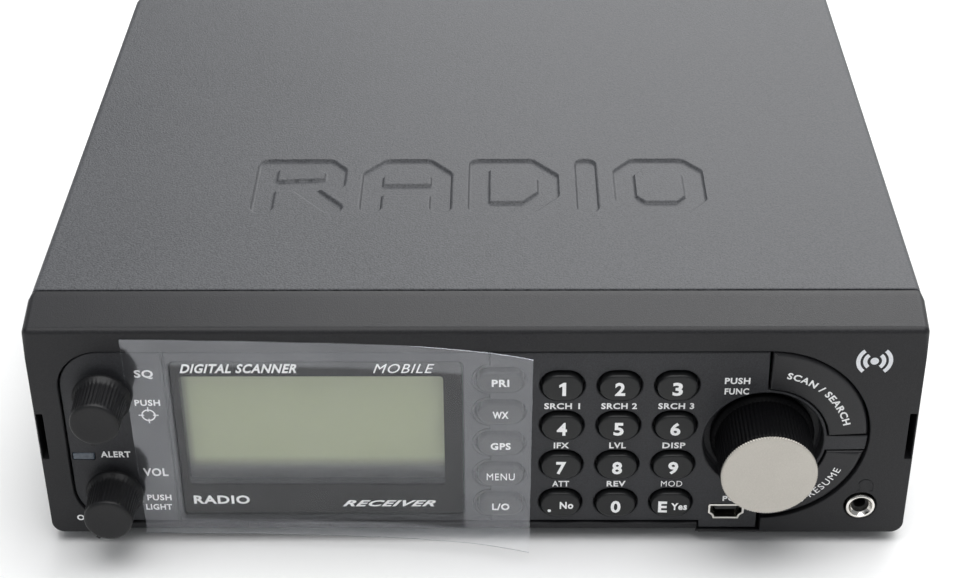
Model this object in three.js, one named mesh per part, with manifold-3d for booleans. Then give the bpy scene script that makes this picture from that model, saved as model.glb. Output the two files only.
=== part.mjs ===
// A desktop and in-car police scanner: a sheet-metal case with a moulded front bezel, a control panel
// with seventeen push keys, two curved keys round a tuning dial, two small knobs, a display behind a
// window, connectors front and rear, and the boards and speaker inside.
//
// Units are millimetres. X runs to the right, Y from the front to the rear, Z up. Inside the group the
// bezel's front face is at y = 0 and its underside at z = 0; the group is then moved so that the
// object stands on z = 0 with its box centred on the origin.

import * as THREE from "three";
import { mergeVertices } from "three/addons/utils/BufferGeometryUtils.js";
import Module from "manifold-3d";

const wasm = await Module();
wasm.setup();

// ---------------------------------------------------------------- driving dimensions

const gap = 0.3; // between pieces that touch
const reach = 5; // how far a cutting tool runs past what it cuts
const bite = 0.1; // how far joined shapes run into each other
const roundSteps = 24; // facets of a full circle
const panelSteps = 7; // half the facets of each arc in the panel's outline
const keySteps = 2; // half the facets of a key's rounded corner
const ovalStraight = 0.1; // half of the straight stretch at an oval's end

// Case
const bezelWidth = 183; // across the front face
const bezelHeight = 53;
const bezelDepth = 14.4;
const bezelFlare = 1; // how much wider each side is at the back of the bezel
const bezelWall = 2.4;
const bezelCorner = 2.6;
const bezelEdge = 0.9; // rounding of the front edge
const seam = 0.5; // groove between the bezel and the cover
const caseDepth = 156; // bezel face to the rear of the cover
const sheet = 1.2; // steel of the cover and the tray
const coverCorner = 1.6;
const coverHem = 2.2; // height of the cover's lower edge above the bezel's underside
const trayLift = 1; // height of the tray's underside above the bezel's underside
const trayWallHeight = 25;
const trayFromCover = 1; // front edge of the tray, behind the cover's
const rearInset = 1.1; // rear panel, in from the cover's rear edge
const footHeight = 3;
const footRadius = 5;
const footEdge = 0.5;
const footInset = 12; // foot centre, in from the case's sides and ends
const screwHeadRadius = 2.8;
const screwShankRadius = 1.4;
const screwShankLength = 5;
const screwHeight = 14; // of the screws on the case's sides
const screwFromEnd = 24;

// Control panel
const panelRecess = 0.5; // panel face, back from the bezel face
const panelPlate = 2.2;
const panelMarginLeft = 6.1; // bezel edge to the panel
const panelMarginRight = 9.8;
const panelMarginTop = 5.8;
const panelMarginLow = 2.8;
const panelCornerLeft = 9;
const panelTabDepth = 1.9; // how far the data port's tab hangs below the panel
const panelEndTrim = 1.425; // how much less than the panel its round end is high
const grooveWidth = 0.3; // line between the knob area and the display area
const grooveDepth = 0.5;
const grooveFromLeft = 21.5; // of the panel
const lipSlope = 1.2; // how far the lower lip leans back
const removalSlotWidth = 1;
const removalSlotHeight = 11.4;
const removalSlotDepth = 9;
const removalSlotFromEdge = 0.5;
const removalSlotDrop = 0.6; // below the middle of the bezel

// Tuning dial
const dialLeftOfEnd = 0.2; // dial axis to the centre of the panel's round end
const dialBelowEnd = 1.5;
const dialRadius = 9.9;
const dialProud = 11; // cap face, in front of the bezel face
const dialSkirt = 1; // how far the skirt stands out from the knob
const dialSkirtLength = 1.3;
const dialSkirtSlope = 0.6;
const dialCapThickness = 0.5;
const dialCapEdge = 0.25;
const dialCapSpigot = 5; // radius of the stub that holds the cap
const dialCapSpigotLength = 0.9;
const dialFront = 2.9; // cap face to the shaft's bore
const wellClearance = 1.6; // skirt to the well's wall
const wellWall = 0.8;
const wellDepth = 3.5;
const wellFloor = 1.2;

// Small knobs
const knobFromLeft = 8.8; // knob axis to the panel's left end
const squelchFromTop = 16; // squelch axis to the top of the bezel
const volumeHeight = 12;
const knobRadius = 5;
const knobFlare = 1.1; // how much wider the foot of the knob is
const knobProud = 10.7;
const knobStandOff = 1.3; // back of the knob, in front of the bezel face
const knobEdge = 0.4;
const knobNeck = 0.1; // how much wider the knob is at mid length
const knobNeckLength = 4;
const knobFlareLength = 2;
const knobFoot = 0.8; // length of the widest part
const knobFront = 2; // plastic in front of the shaft
const pointerWidth = 0.9;
const pointerProud = 0.45;
const squelchPointer = 0.15; // radians clockwise from straight down
const volumePointer = 0.5;

// Controls behind the knobs
const shaftRadius = 2.9;
const shaftFlat = 0.7; // depth of the flat on the shaft
const bushWall = 0.7;
const housingSide = 12.6;
const housingWall = 1.4;
const rotorThickness = 1.4;
const pushTravel = 0.5;

// Keys
const keyColumns = 3;
const keyRows = 4;
const keyWidth = 8.4;
const keyColumnWeb = 3.36; // between two columns of keys
const keyWellWeb = 0.55; // last column's openings to the rim of the dial's well
const keyRowWeb = 3.87; // between two rows of keys, where the legends are
const keyMarginTop = 5.25; // panel edge to the first row
const keyMarginLow = 1.95; // panel edge to the last row
const keyProud = 1.2; // key face, in front of the panel face
const keyCorner = 0.8; // rounding of the key's front edge
const keyClearance = 0.5;
const keyFlange = 0.9;
const keyFlangeThickness = 0.8;
const keyStemRadius = 1.5;
const keyTravel = 0.8;
const softKeyCount = 5;
const softKeyFromKeys = 3.75; // soft keys to the first column of keys
const softKeyWidth = 9.5;
const softKeyWeb = 3.05;
const softKeyMarginTop = 4.45;
const softKeyMarginLow = 2.25;

// Curved keys
const arcKeyProud = 0.3; // in front of the panel face
const arcKeyThickness = 2.6;
const arcKeyEdge = 0.45;
const arcKeyClearance = 0.3;
const arcKeyArm = 3.6; // width of the panel's arm between them
const arcKeyArmTop = 1.5; // top of the arm above the dial axis
const arcKeyStemAngle = 0.9; // radians above or below the arm

// Display
const windowFromGroove = 1.2;
const windowFromSoftKeys = 2.9; // window edge to the soft keys
const windowMarginTop = 2.4; // panel edge to the window
const windowMarginLow = 1.5;
const windowThickness = 1.3;
const windowRecess = 0.1; // window, back from the panel face
const windowCorner = 1;
const moduleMargin = 1.3; // window edge to the display module
const moduleThickness = 4;
const moduleFrame = 2.4;
const moduleFrameProud = 0.8;
const moduleLift = 7.6; // module above the window's lower edge

// Front connectors and the light
const portWidth = 7.6;
const portHeight = 3.9;
const portFromDial = 6.6; // port centre, left of the dial axis
const portAboveUnderside = 5.4;
const portShell = 0.4;
const portTongue = 1.1;
const portTongueRise = 0.3; // tongue above the port's axis
const portTongueMargin = 1.6; // tongue to the port's sides
const portTongueSetBack = 0.8;
const portFloor = 1.5;
const portCorner = 0.5;
const tabLeftReach = 5.8; // port centre to the left end of its tab
const tabRightReach = 7.1;
const phonesFromRight = 9.7; // jack axis to the bezel's side
const phonesHeight = 7.4;
const phonesRing = 3.1;
const phonesBore = 1.8;
const phonesProud = 0.5;
const jackWall = 0.4; // jack body past its ring
const jackFloor = 0.8;
const lightLength = 5;
const lightThickness = 1.7;
const lightHeight = 20.4;
const lightProud = 0.1; // in front of the panel face
const lightFlange = 0.6;
const lightFlangeThickness = 1;

// Protective film
const filmThickness = 0.2;
const filmFromLeft = 13.7; // film edge to the panel's left end
const filmPastSoftKeys = 5.9; // film edge past the soft key column
const filmHeight = 50.3;
const filmLift = 6.5; // how far its free side stands away
const filmLiftLength = 19;
const filmCurl = 1.6; // power of the curl: 1 is straight

// Boards and what they carry
const boardThickness = 1.6;
const frontBoardFace = 9; // its front, behind the bezel face
const frontBoardMargin = 3.2; // to the bezel's inner walls
const frontBoardLift = 0.6; // above the bezel's lower wall
const mainBoardHeight = 10; // its underside
const mainBoardFront = 24;
const mainBoardSide = 4; // to the tray's walls
const mainBoardStep = 96; // where the board widens behind the speaker
const mainBoardBack = 2; // to the rear panel
const mainBoardToSpeaker = 4;
const ribbonWidth = 22;
const ribbonThickness = 0.4;
const ribbonOverlap = 7; // on each board
const ribbonBend = 2.3;
const ribbonX = 22;
const ribbonHeight = 30; // where it leaves the front board
const speakerRadius = 27;
const speakerMagnetRadius = 14;
const speakerBasketDepth = 11;
const speakerMagnetDepth = 8;
const speakerFlange = 1.6;
const speakerMargin = 1.8; // speaker to the tray's wall
const speakerFromFront = 28; // its front edge, behind the bezel face
const grilleSlot = 2.2;
const grillePitch = 5.5;
const grilleSlots = 7;
const grilleMargin = 5; // slots' ends to the speaker's rim

// Rear connectors: axis positions are measured from the case's right side, heights from the underside
const antennaFromSide = 18;
const antennaHeight = 30;
const antennaRadius = 4.8;
const antennaWall = 0.75;
const antennaLength = 11;
const antennaNutRadius = 7;
const antennaNutThickness = 1.8;
const antennaPin = 1.1;
const antennaLug = 0.9;
const antennaLugFromTip = 3.5;
const connectorTail = 8; // of a connector, behind the rear panel
const powerFromSide = 42;
const powerBarrelRadius = 3.1;
const powerPinRadius = 1;
const powerWall = 1.4;
const powerLift = 1; // jack body's barrel above the board
const powerDepth = 8;
const noseLength = 1; // of a jack's nose, outside the rear panel
const headerFromSide = 62;
const headerWidth = 14;
const headerHeight = 8;
const headerWall = 1.1;
const headerPins = 3;
const headerPinSide = 1;
const headerPinPitch = 3.9;
const headerProud = 2;
const audioFromSide = 90;
const audioPitch = 14;
const audioMargin = 0.8; // jack body past its sleeves
const audioDepth = 11;
const serialFromSide = 140;
const serialPlateWidth = 31;
const serialPlateHeight = 12.5;
const serialShellWidth = 17;
const serialShellHeight = 8.4;
const serialShellLength = 5.6;
const serialShellWall = 0.6;
const serialPinPitch = 2.76;
const serialPinRadius = 0.5;
const serialPinRow = 1.4; // each row of pins to the connector's axis
const serialPlateThickness = 0.9;
const serialLean = 0.18; // how far its sides lean in, as a share of its height

// ---------------------------------------------------------------- derived places

const faceX = bezelWidth / 2;
const coverX = faceX + bezelFlare - 0.2; // the cover lies just inside the bezel's back edge
const trayX = coverX - sheet - gap;
const coverFront = bezelDepth + seam;
const rearPanelFace = caseDepth - rearInset;
const trayTop = trayLift + sheet;

const panel = {
  left: -faceX + panelMarginLeft,
  right: faceX - panelMarginRight,
  low: panelMarginLow,
  top: bezelHeight - panelMarginTop,
  face: panelRecess,
  back: panelRecess + panelPlate,
};
panel.height = panel.top - panel.low;
const endRadius = (panel.height - panelEndTrim) / 2; // round right end of the panel
const endCentre = { x: panel.right - endRadius, z: panel.top - endRadius };
const dial = { x: endCentre.x - dialLeftOfEnd, z: endCentre.z - dialBelowEnd };
const wellRadius = dialRadius + dialSkirt + wellClearance;
const rimRadius = wellRadius + wellWall;
const wellBack = panel.face + wellDepth;
const shaftHole = shaftRadius + gap + bushWall + gap;
const knobX = panel.left + knobFromLeft;
const grooveX = panel.left + grooveFromLeft;

const squelchHeight = bezelHeight - squelchFromTop;

const lastKeyX = dial.x - rimRadius - keyWellWeb - keyClearance - keyWidth / 2;
const keyX = (column) => lastKeyX - (keyColumns - 1 - column) * (keyWidth + keyColumnWeb);
const keyPitchZ = (panel.height - keyMarginTop - keyMarginLow + keyRowWeb) / keyRows;
const keyHeight = keyPitchZ - keyRowWeb;
const keyZ = (row) => panel.top - keyMarginTop - keyHeight / 2 - row * keyPitchZ;
const softKeyX = keyX(0) - (keyWidth + softKeyWidth) / 2 - softKeyFromKeys;
const softKeyRun = panel.height - softKeyMarginTop - softKeyMarginLow;
const softKeyPitch = (softKeyRun + softKeyWeb) / softKeyCount;
const softKeyHeight = softKeyPitch - softKeyWeb;
const softKeyZ = (row) => panel.top - softKeyMarginTop - softKeyHeight / 2 - row * softKeyPitch;

const pane = {
  left: grooveX + windowFromGroove,
  right: softKeyX - softKeyWidth / 2 - windowFromSoftKeys,
  low: panel.low + windowMarginLow,
  top: panel.top - windowMarginTop,
};
const portX = dial.x - portFromDial;
const tab = { left: portX - tabLeftReach, right: portX + tabRightReach };
const phonesX = faceX - phonesFromRight;
const filmLeft = panel.left + filmFromLeft;
const filmRight = softKeyX + filmPastSoftKeys;

// ---------------------------------------------------------------- shape helpers

// The solid that a closed three.js geometry bounds.
function solidOf(geometry) {
  const bare = geometry.clone();
  for (const name of Object.keys(bare.attributes)) {
    if (name !== "position") bare.deleteAttribute(name);
  }
  const merged = mergeVertices(bare, 1e-4);
  return new wasm.Manifold(
    new wasm.Mesh({
      numProp: 3,
      vertProperties: new Float32Array(merged.attributes.position.array),
      triVerts: new Uint32Array(merged.index.array),
    }),
  );
}

// The geometry of a solid, for a THREE.Mesh.
function geometryOf(solid) {
  const mesh = solid.getMesh();
  const geometry = new THREE.BufferGeometry();
  geometry.setAttribute("position", new THREE.BufferAttribute(mesh.vertProperties, mesh.numProp));
  geometry.setIndex(new THREE.BufferAttribute(mesh.triVerts, 1));
  geometry.computeVertexNormals();
  return geometry;
}

const joined = (first, ...rest) => rest.reduce((whole, piece) => whole.add(piece), first);
const cut = (first, ...tools) => tools.reduce((whole, tool) => whole.subtract(tool), first);

// A box from its lowest to its highest corner.
function boxGeometry(x0, x1, y0, y1, z0, z1) {
  const geometry = new THREE.BoxGeometry(x1 - x0, y1 - y0, z1 - z0);
  return geometry.translate((x0 + x1) / 2, (y0 + y1) / 2, (z0 + z1) / 2);
}

const block = (...corners) => solidOf(boxGeometry(...corners));

// A THREE.Shape drawn in X and Z, swept along Y from y0 to y1. A bevel rounds the y0 end, and a flare
// widens the sweep by that share of its width per millimetre of y.
function prism(shape, y0, y1, bevel = 0, curveSegments = 4, flare = 0) {
  const geometry = new THREE.ExtrudeGeometry(shape, {
    depth: y1 - y0 - bevel,
    curveSegments,
    bevelEnabled: bevel > 0,
    bevelThickness: bevel,
    bevelSize: bevel,
    bevelOffset: -bevel,
    bevelSegments: 1,
  });
  geometry.rotateX(Math.PI / 2).translate(0, y1, 0);
  const corners = geometry.attributes.position;
  for (let i = 0; i < corners.count; i++) {
    corners.setX(i, corners.getX(i) * (1 + flare * corners.getY(i)));
  }
  const swept = solidOf(geometry);
  if (!bevel) return swept;
  const beyond = reach * 100;
  return swept.subtract(block(-beyond, beyond, y1, y1 + reach, -beyond, beyond));
}

// A cylinder along Y.
function rod(x, z, radius, y0, y1, steps = roundSteps) {
  const geometry = new THREE.CylinderGeometry(radius, radius, y1 - y0, steps);
  return solidOf(geometry.translate(x, (y0 + y1) / 2, z));
}

// A profile of [radius, y] pairs turned about an axis along Y.
function turned(x, z, profile, steps = roundSteps) {
  const points = profile.map(([radius, y]) => new THREE.Vector2(radius, y));
  return solidOf(new THREE.LatheGeometry(points, steps).translate(x, 0, z));
}

// A profile of [radius, z] pairs turned about an axis along Z.
function turnedUpright(x, y, profile, steps = roundSteps) {
  const points = profile.map(([radius, z]) => new THREE.Vector2(radius, z));
  return solidOf(new THREE.LatheGeometry(points, steps).rotateX(Math.PI / 2).translate(x, y, 0));
}

function roundedRectangle(x0, x1, z0, z1, radius) {
  const shape = new THREE.Shape();
  shape.absarc(x1 - radius, z0 + radius, radius, -Math.PI / 2, 0);
  shape.absarc(x1 - radius, z1 - radius, radius, 0, Math.PI / 2);
  shape.absarc(x0 + radius, z1 - radius, radius, Math.PI / 2, Math.PI);
  shape.absarc(x0 + radius, z0 + radius, radius, Math.PI, 1.5 * Math.PI);
  return shape;
}

// An oval with straight top and bottom and round ends.
function oval(x, z, width, height) {
  const end = Math.min(width, height) / 2 - ovalStraight;
  return roundedRectangle(x - width / 2, x + width / 2, z - height / 2, z + height / 2, end);
}

// A shape drawn in Y and Z, swept along X from x0 to x1.
function beam(points, x0, x1) {
  const shape = new THREE.Shape(points.map(([y, z]) => new THREE.Vector2(y, z)));
  const geometry = new THREE.ExtrudeGeometry(shape, { depth: x1 - x0, bevelEnabled: false });
  geometry.applyMatrix4(new THREE.Matrix4().set(0, 0, 1, x0, 1, 0, 0, 0, 0, 1, 0, 0, 0, 0, 0, 1));
  return solidOf(geometry);
}

// The panel's outline, grown by `grow`: rounded left corners, a round right end about the dial, and a
// tab below the data port.
function panelOutline(grow) {
  const left = panel.left - grow;
  const low = panel.low - grow;
  const corner = panelCornerLeft + grow;
  const end = endRadius + grow;
  const tabLeft = tab.left - grow;
  const tabRight = tab.right + grow;
  const tabLow = panel.low - panelTabDepth - grow;
  const down = Math.acos(Math.min(1, (tabRight - endCentre.x) / end)); // where the round end meets the tab
  const shape = new THREE.Shape();
  shape.absarc(left + corner, low + corner, corner, 1.5 * Math.PI, Math.PI, true);
  shape.absarc(left + corner, panel.top + grow - corner, corner, Math.PI, Math.PI / 2, true);
  shape.absarc(endCentre.x, endCentre.z, end, Math.PI / 2, -down, true);
  shape.lineTo(tabRight, tabLow);
  shape.lineTo(tabLeft, tabLow);
  shape.lineTo(tabLeft, low);
  return shape;
}

// The outline of a curved key between the dial's rim and the panel's round end, above or below the
// arm; grown by `grow`.
function arcKeySolid(upper, grow, y0, y1) {
  const outer = prism(panelOutline(grow), y0, y1, 0, panelSteps);
  const core = rod(dial.x, dial.z, rimRadius + arcKeyClearance - grow, y0 - reach, y1 + reach);
  const far = 2 * bezelHeight;
  const armTop = dial.z + arcKeyArmTop;
  const armLow = armTop - arcKeyArm;
  const splitX = Math.max(dial.x, tab.right) + arcKeyClearance;
  const low = upper ? armTop + arcKeyClearance - grow : -far;
  const top = upper ? far : armLow - arcKeyClearance + grow;
  const field = block(splitX - grow, far * 2, y0 - reach, y1 + reach, low, top);
  return outer.subtract(core).intersect(field);
}

// ---------------------------------------------------------------- the assembly

const scanner = new THREE.Group();
const tint = {
  satinBlack: { color: 0x24262a, roughness: 0.55, metalness: 0 },
  paintedSteel: { color: 0x3b3d42, roughness: 0.6, metalness: 0.1 },
  panelGrey: { color: 0x2e3034, roughness: 0.65, metalness: 0 },
  keyBlack: { color: 0x141618, roughness: 0.45, metalness: 0 },
  knobBlack: { color: 0x0e0f10, roughness: 0.3, metalness: 0 },
  silver: { color: 0xb9b6ae, roughness: 0.35, metalness: 0.9 },
  glassBlack: { color: 0x17191a, roughness: 0.1, metalness: 0 },
  displayGreen: { color: 0x9aa38a, roughness: 0.3, metalness: 0 },
  film: { color: 0xd8dde2, roughness: 0.1, metalness: 0, transparent: true, opacity: 0.25 },
  board: { color: 0x1f5a3a, roughness: 0.5, metalness: 0 },
  rubber: { color: 0x101010, roughness: 0.9, metalness: 0 },
  lightPipe: { color: 0x6f808c, roughness: 0.2, metalness: 0 },
  nickel: { color: 0xc9c7c0, roughness: 0.25, metalness: 1 },
  connectorBlack: { color: 0x161616, roughness: 0.5, metalness: 0 },
  ribbon: { color: 0xb98a4a, roughness: 0.4, metalness: 0 },
};

function add(name, solid, look) {
  const mesh = new THREE.Mesh(geometryOf(solid), new THREE.MeshStandardMaterial(tint[look]));
  mesh.name = name;
  scanner.add(mesh);
}

// ---- case

function frontBezel() {
  const flare = bezelFlare / faceX / bezelDepth;
  const outer = roundedRectangle(-faceX, faceX, 0, bezelHeight, bezelCorner);
  const shell = prism(outer, 0, bezelDepth, bezelEdge, 4, flare);
  const inner = roundedRectangle(
    -faceX + bezelWall, faceX - bezelWall, bezelWall, bezelHeight - bezelWall, bezelCorner / 2,
  );
  const hollow = prism(inner, bezelWall, bezelDepth + reach, 0, 4, flare);
  const opening = prism(panelOutline(gap), -reach, bezelWall + reach, 0, panelSteps);
  const slotMiddle = bezelHeight / 2 - removalSlotDrop;
  const slots = [-1, 1].map((side) => {
    const middle = side * (faceX - removalSlotFromEdge - removalSlotWidth / 2);
    return block(
      middle - removalSlotWidth / 2, middle + removalSlotWidth / 2, -reach, removalSlotDepth,
      slotMiddle - removalSlotHeight / 2, slotMiddle + removalSlotHeight / 2,
    );
  });
  const lip = beam(
    [[-reach, -reach], [lipSlope, -reach], [lipSlope, 0], [0, panel.low - gap], [-reach, panel.low - gap]],
    panel.left + panelCornerLeft, tab.left - gap,
  );
  const phonesHole = rod(phonesX, phonesHeight, phonesRing + gap, -reach, bezelWall + reach);
  return cut(shell, hollow, opening, ...slots, lip, phonesHole);
}

const screwPlaces = [
  ["left_front", -1, coverFront + screwFromEnd],
  ["left_rear", -1, caseDepth - screwFromEnd],
  ["right_front", 1, coverFront + screwFromEnd],
  ["right_rear", 1, caseDepth - screwFromEnd],
];

// A cylinder along X at a side screw's place, from distance x0 to x1 off the middle.
function sideRod(side, y, radius, x0, x1) {
  const geometry = new THREE.CylinderGeometry(radius, radius, x1 - x0, 20).rotateZ(Math.PI / 2);
  return solidOf(geometry.translate((side * (x0 + x1)) / 2, y, screwHeight));
}

function topCover() {
  const outer = roundedRectangle(-coverX, coverX, -2 * reach, bezelHeight, coverCorner);
  const inner = roundedRectangle(
    -coverX + sheet, coverX - sheet, -4 * reach, bezelHeight - sheet, coverCorner - sheet,
  );
  const shell = prism(outer, coverFront, caseDepth).subtract(
    prism(inner, coverFront - reach, caseDepth + reach),
  );
  const below = block(
    -coverX - reach, coverX + reach, coverFront - reach, caseDepth + reach, -bezelHeight, coverHem,
  );
  const holes = screwPlaces.map(([, side, y]) =>
    sideRod(side, y, screwHeadRadius + gap, trayX, coverX + reach),
  );
  return cut(shell, below, ...holes);
}

function chassisTray() {
  const front = coverFront + trayFromCover;
  const rear = rearPanelFace - sheet - gap;
  const plate = block(-trayX, trayX, front, rear, trayLift, trayTop);
  const walls = [-1, 1].map((side) => {
    const middle = side * (trayX - sheet / 2);
    return block(middle - sheet / 2, middle + sheet / 2, front, rear, trayLift, trayLift + trayWallHeight);
  });
  const screwHoles = screwPlaces.map(([, side, y]) =>
    sideRod(side, y, screwShankRadius + gap, trayX - sheet - reach, trayX + reach),
  );
  const slots = [];
  for (let i = 0; i < grilleSlots; i++) {
    const offset = (i - (grilleSlots - 1) / 2) * grillePitch;
    const half = Math.sqrt((speakerRadius - grilleMargin) ** 2 - offset ** 2);
    const y = speakerY + offset;
    slots.push(
      block(speakerX - half, speakerX + half, y - grilleSlot / 2, y + grilleSlot / 2, 0, trayTop + 1),
    );
  }
  return cut(joined(plate, ...walls), ...screwHoles, ...slots);
}

const speakerX = -trayX + sheet + speakerMargin + speakerRadius;
const speakerY = speakerFromFront + speakerRadius;

function rearPanel() {
  const low = trayTop + gap;
  const plate = block(
    -trayX, trayX, rearPanelFace - sheet, rearPanelFace, low, bezelHeight - sheet - gap,
  );
  const tools = rearConnectors.map((item) => item.hole);
  return cut(plate, ...tools);
}

add("front_bezel", frontBezel(), "satinBlack");
add("top_cover", topCover(), "paintedSteel");
add("chassis_tray", chassisTray(), "paintedSteel");

for (const [corner, side, y] of screwPlaces) {
  const head = sideRod(side, y, screwHeadRadius, trayX + gap, coverX);
  const shank = sideRod(side, y, screwShankRadius, trayX - screwShankLength, trayX + gap + bite);
  add(`cover_screw_${corner}`, head.add(shank), "nickel");
}

for (const [end, y] of [["front", coverFront + footInset], ["rear", caseDepth - footInset]]) {
  for (const [side, sign] of [["left", -1], ["right", 1]]) {
    const profile = [
      [0, -footHeight], [footRadius - footEdge, -footHeight], [footRadius, -footHeight + footEdge],
      [footRadius, trayLift - gap], [0, trayLift - gap],
    ];
    add(`foot_${end}_${side}`, turnedUpright(sign * (trayX - footInset), y, profile, 24), "rubber");
  }
}

// ---- control panel, window and display

function controlPanel() {
  const plate = prism(panelOutline(0), panel.face, panel.back, 0, panelSteps);
  const cup = rod(dial.x, dial.z, rimRadius, panel.face, wellBack + wellFloor, 2 * roundSteps);
  const holes = [
    prism(
      roundedRectangle(pane.left, pane.right, pane.low, pane.top, windowCorner),
      -reach, panel.back + reach,
    ),
    block(
      grooveX - grooveWidth / 2, grooveX + grooveWidth / 2, -reach, panel.face + grooveDepth,
      0, bezelHeight,
    ),
    prism(
      roundedRectangle(
        portX - portWidth / 2 - gap, portX + portWidth / 2 + gap,
        portAboveUnderside - portHeight / 2 - gap, portAboveUnderside + portHeight / 2 + gap, portCorner,
      ),
      -reach, panel.back + reach,
    ),
    block(
      panel.left - reach, panel.left + lightLength + gap, -reach, panel.back + reach,
      lightHeight - lightThickness / 2 - gap, lightHeight + lightThickness / 2 + gap,
    ),
  ];
  for (const z of [squelchHeight, volumeHeight]) {
    holes.push(rod(knobX, z, shaftHole, -reach, panel.back + reach));
  }
  for (const key of keys) holes.push(prism(key.opening, -reach, panel.back + reach, 0, keySteps));
  holes.push(arcKeySolid(true, arcKeyClearance, -reach, panel.back + reach));
  holes.push(arcKeySolid(false, arcKeyClearance, -reach, panel.back + reach));
  holes.push(rod(dial.x, dial.z, wellRadius, -reach, wellBack, 2 * roundSteps));
  holes.push(rod(dial.x, dial.z, shaftHole, -reach, wellBack + reach));
  return cut(plate.add(cup), ...holes);
}

const keys = [];
const keyNames = [
  ["key_1", "key_2", "key_3"],
  ["key_4", "key_5", "key_6"],
  ["key_7", "key_8", "key_9"],
  ["key_point", "key_0", "key_enter"],
];
keyNames.forEach((names, row) => {
  names.forEach((name, column) => {
    keys.push({ name, x: keyX(column), z: keyZ(row), width: keyWidth, height: keyHeight });
  });
});
["key_priority", "key_weather", "key_location", "key_menu", "key_lockout"].forEach((name, row) => {
  keys.push({ name, x: softKeyX, z: softKeyZ(row), width: softKeyWidth, height: softKeyHeight });
});
for (const key of keys) {
  key.opening = oval(key.x, key.z, key.width + 2 * keyClearance, key.height + 2 * keyClearance);
}

// The stem behind a key, which ends clear of the front board by the key's travel.
function keyStem(x, z, front) {
  return rod(x, z, keyStemRadius, front, frontBoardFace - keyTravel - gap, 12);
}

function pushKey({ x, z, width, height }) {
  const flangeFace = panel.back + gap;
  const cap = prism(
    oval(x, z, width, height), panel.face - keyProud, flangeFace + bite, keyCorner, keySteps,
  );
  const flange = prism(
    oval(x, z, width + 2 * keyFlange, height + 2 * keyFlange),
    flangeFace, flangeFace + keyFlangeThickness, 0, keySteps,
  );
  const stem = keyStem(x, z, flangeFace + keyFlangeThickness - bite);
  return joined(cap, flange, stem);
}

function curvedKey(upper) {
  const face = panel.face - arcKeyProud;
  const whole = arcKeySolid(upper, 0, face + arcKeyEdge, face + arcKeyThickness);
  const rim = arcKeySolid(upper, -arcKeyEdge, face, face + arcKeyEdge + bite);
  const middle = (rimRadius + endRadius) / 2 + dialBelowEnd / 2;
  const angle = upper ? arcKeyStemAngle : -arcKeyStemAngle;
  const stemX = dial.x + middle * Math.cos(angle);
  const stemZ = dial.z + middle * Math.sin(angle);
  const stem = keyStem(stemX, stemZ, face + arcKeyThickness - bite);
  return joined(whole, rim, stem);
}

function displayWindow() {
  const shape = roundedRectangle(
    pane.left + gap, pane.right - gap, pane.low + gap, pane.top - gap, windowCorner - gap,
  );
  return prism(shape, panel.face + windowRecess, panel.face + windowRecess + windowThickness);
}

function displayModule() {
  const face = panel.back + gap;
  const left = pane.left + moduleMargin;
  const right = pane.right - moduleMargin;
  const low = pane.low + moduleLift;
  const top = pane.top - moduleMargin;
  const body = block(left, right, face, face + moduleThickness, low, top);
  const sunk = block(
    left + moduleFrame, right - moduleFrame, face - reach, face + moduleFrameProud,
    low + moduleFrame, top - moduleFrame,
  );
  return body.subtract(sunk);
}

function alertLight() {
  const z0 = lightHeight - lightThickness / 2;
  const flangeFace = panel.back + gap;
  const bar = block(
    panel.left, panel.left + lightLength, panel.face - lightProud, flangeFace + bite,
    z0, z0 + lightThickness,
  );
  const flange = block(
    panel.left + lightFlange, panel.left + lightLength + lightFlange,
    flangeFace, flangeFace + lightFlangeThickness, z0 - lightFlange, z0 + lightThickness + lightFlange,
  );
  return bar.add(flange);
}

add("control_panel", controlPanel(), "panelGrey");
add("display_window", displayWindow(), "glassBlack");
add("display_module", displayModule(), "displayGreen");
add("alert_light", alertLight(), "lightPipe");
for (const key of keys) add(key.name, pushKey(key), "keyBlack");
add("key_scan", curvedKey(true), "keyBlack");
add("key_hold", curvedKey(false), "keyBlack");

// The film's path, as [x, y] pairs: flat over the window, then curling forward past the soft keys.
function protectiveFilm() {
  const flatY = -gap - filmThickness;
  const liftStart = filmRight - filmLiftLength;
  const rearSide = [[filmLeft, flatY + filmThickness]];
  const frontSide = [[filmLeft, flatY]];
  const steps = 12;
  for (let i = 0; i <= steps; i++) {
    const share = i / steps;
    const x = liftStart + share * filmLiftLength;
    const y = flatY - filmLift * share ** filmCurl;
    const slope = (filmCurl * filmLift * share ** (filmCurl - 1)) / filmLiftLength;
    const length = Math.hypot(1, slope);
    frontSide.push([x, y]);
    rearSide.push([x + (filmThickness * slope) / length, y + filmThickness / length]);
  }
  const outline = [...frontSide, ...rearSide.reverse()].map(([x, y]) => new THREE.Vector2(x, y));
  const geometry = new THREE.ExtrudeGeometry(new THREE.Shape(outline), {
    depth: filmHeight, bevelEnabled: false,
  });
  return solidOf(geometry.translate(0, 0, gap));
}
add("protective_film", protectiveFilm(), "film");

// ---- knobs and the controls behind them

// A round shaft along Y with a flat along its whole length.
function shaft(x, z, radius, y0, y1) {
  const flat = block(
    x - radius - 1, x + radius + 1, y0 - reach, y1 + reach, z + radius - shaftFlat, z + radius + 1,
  );
  return rod(x, z, radius, y0, y1).subtract(flat);
}

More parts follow.
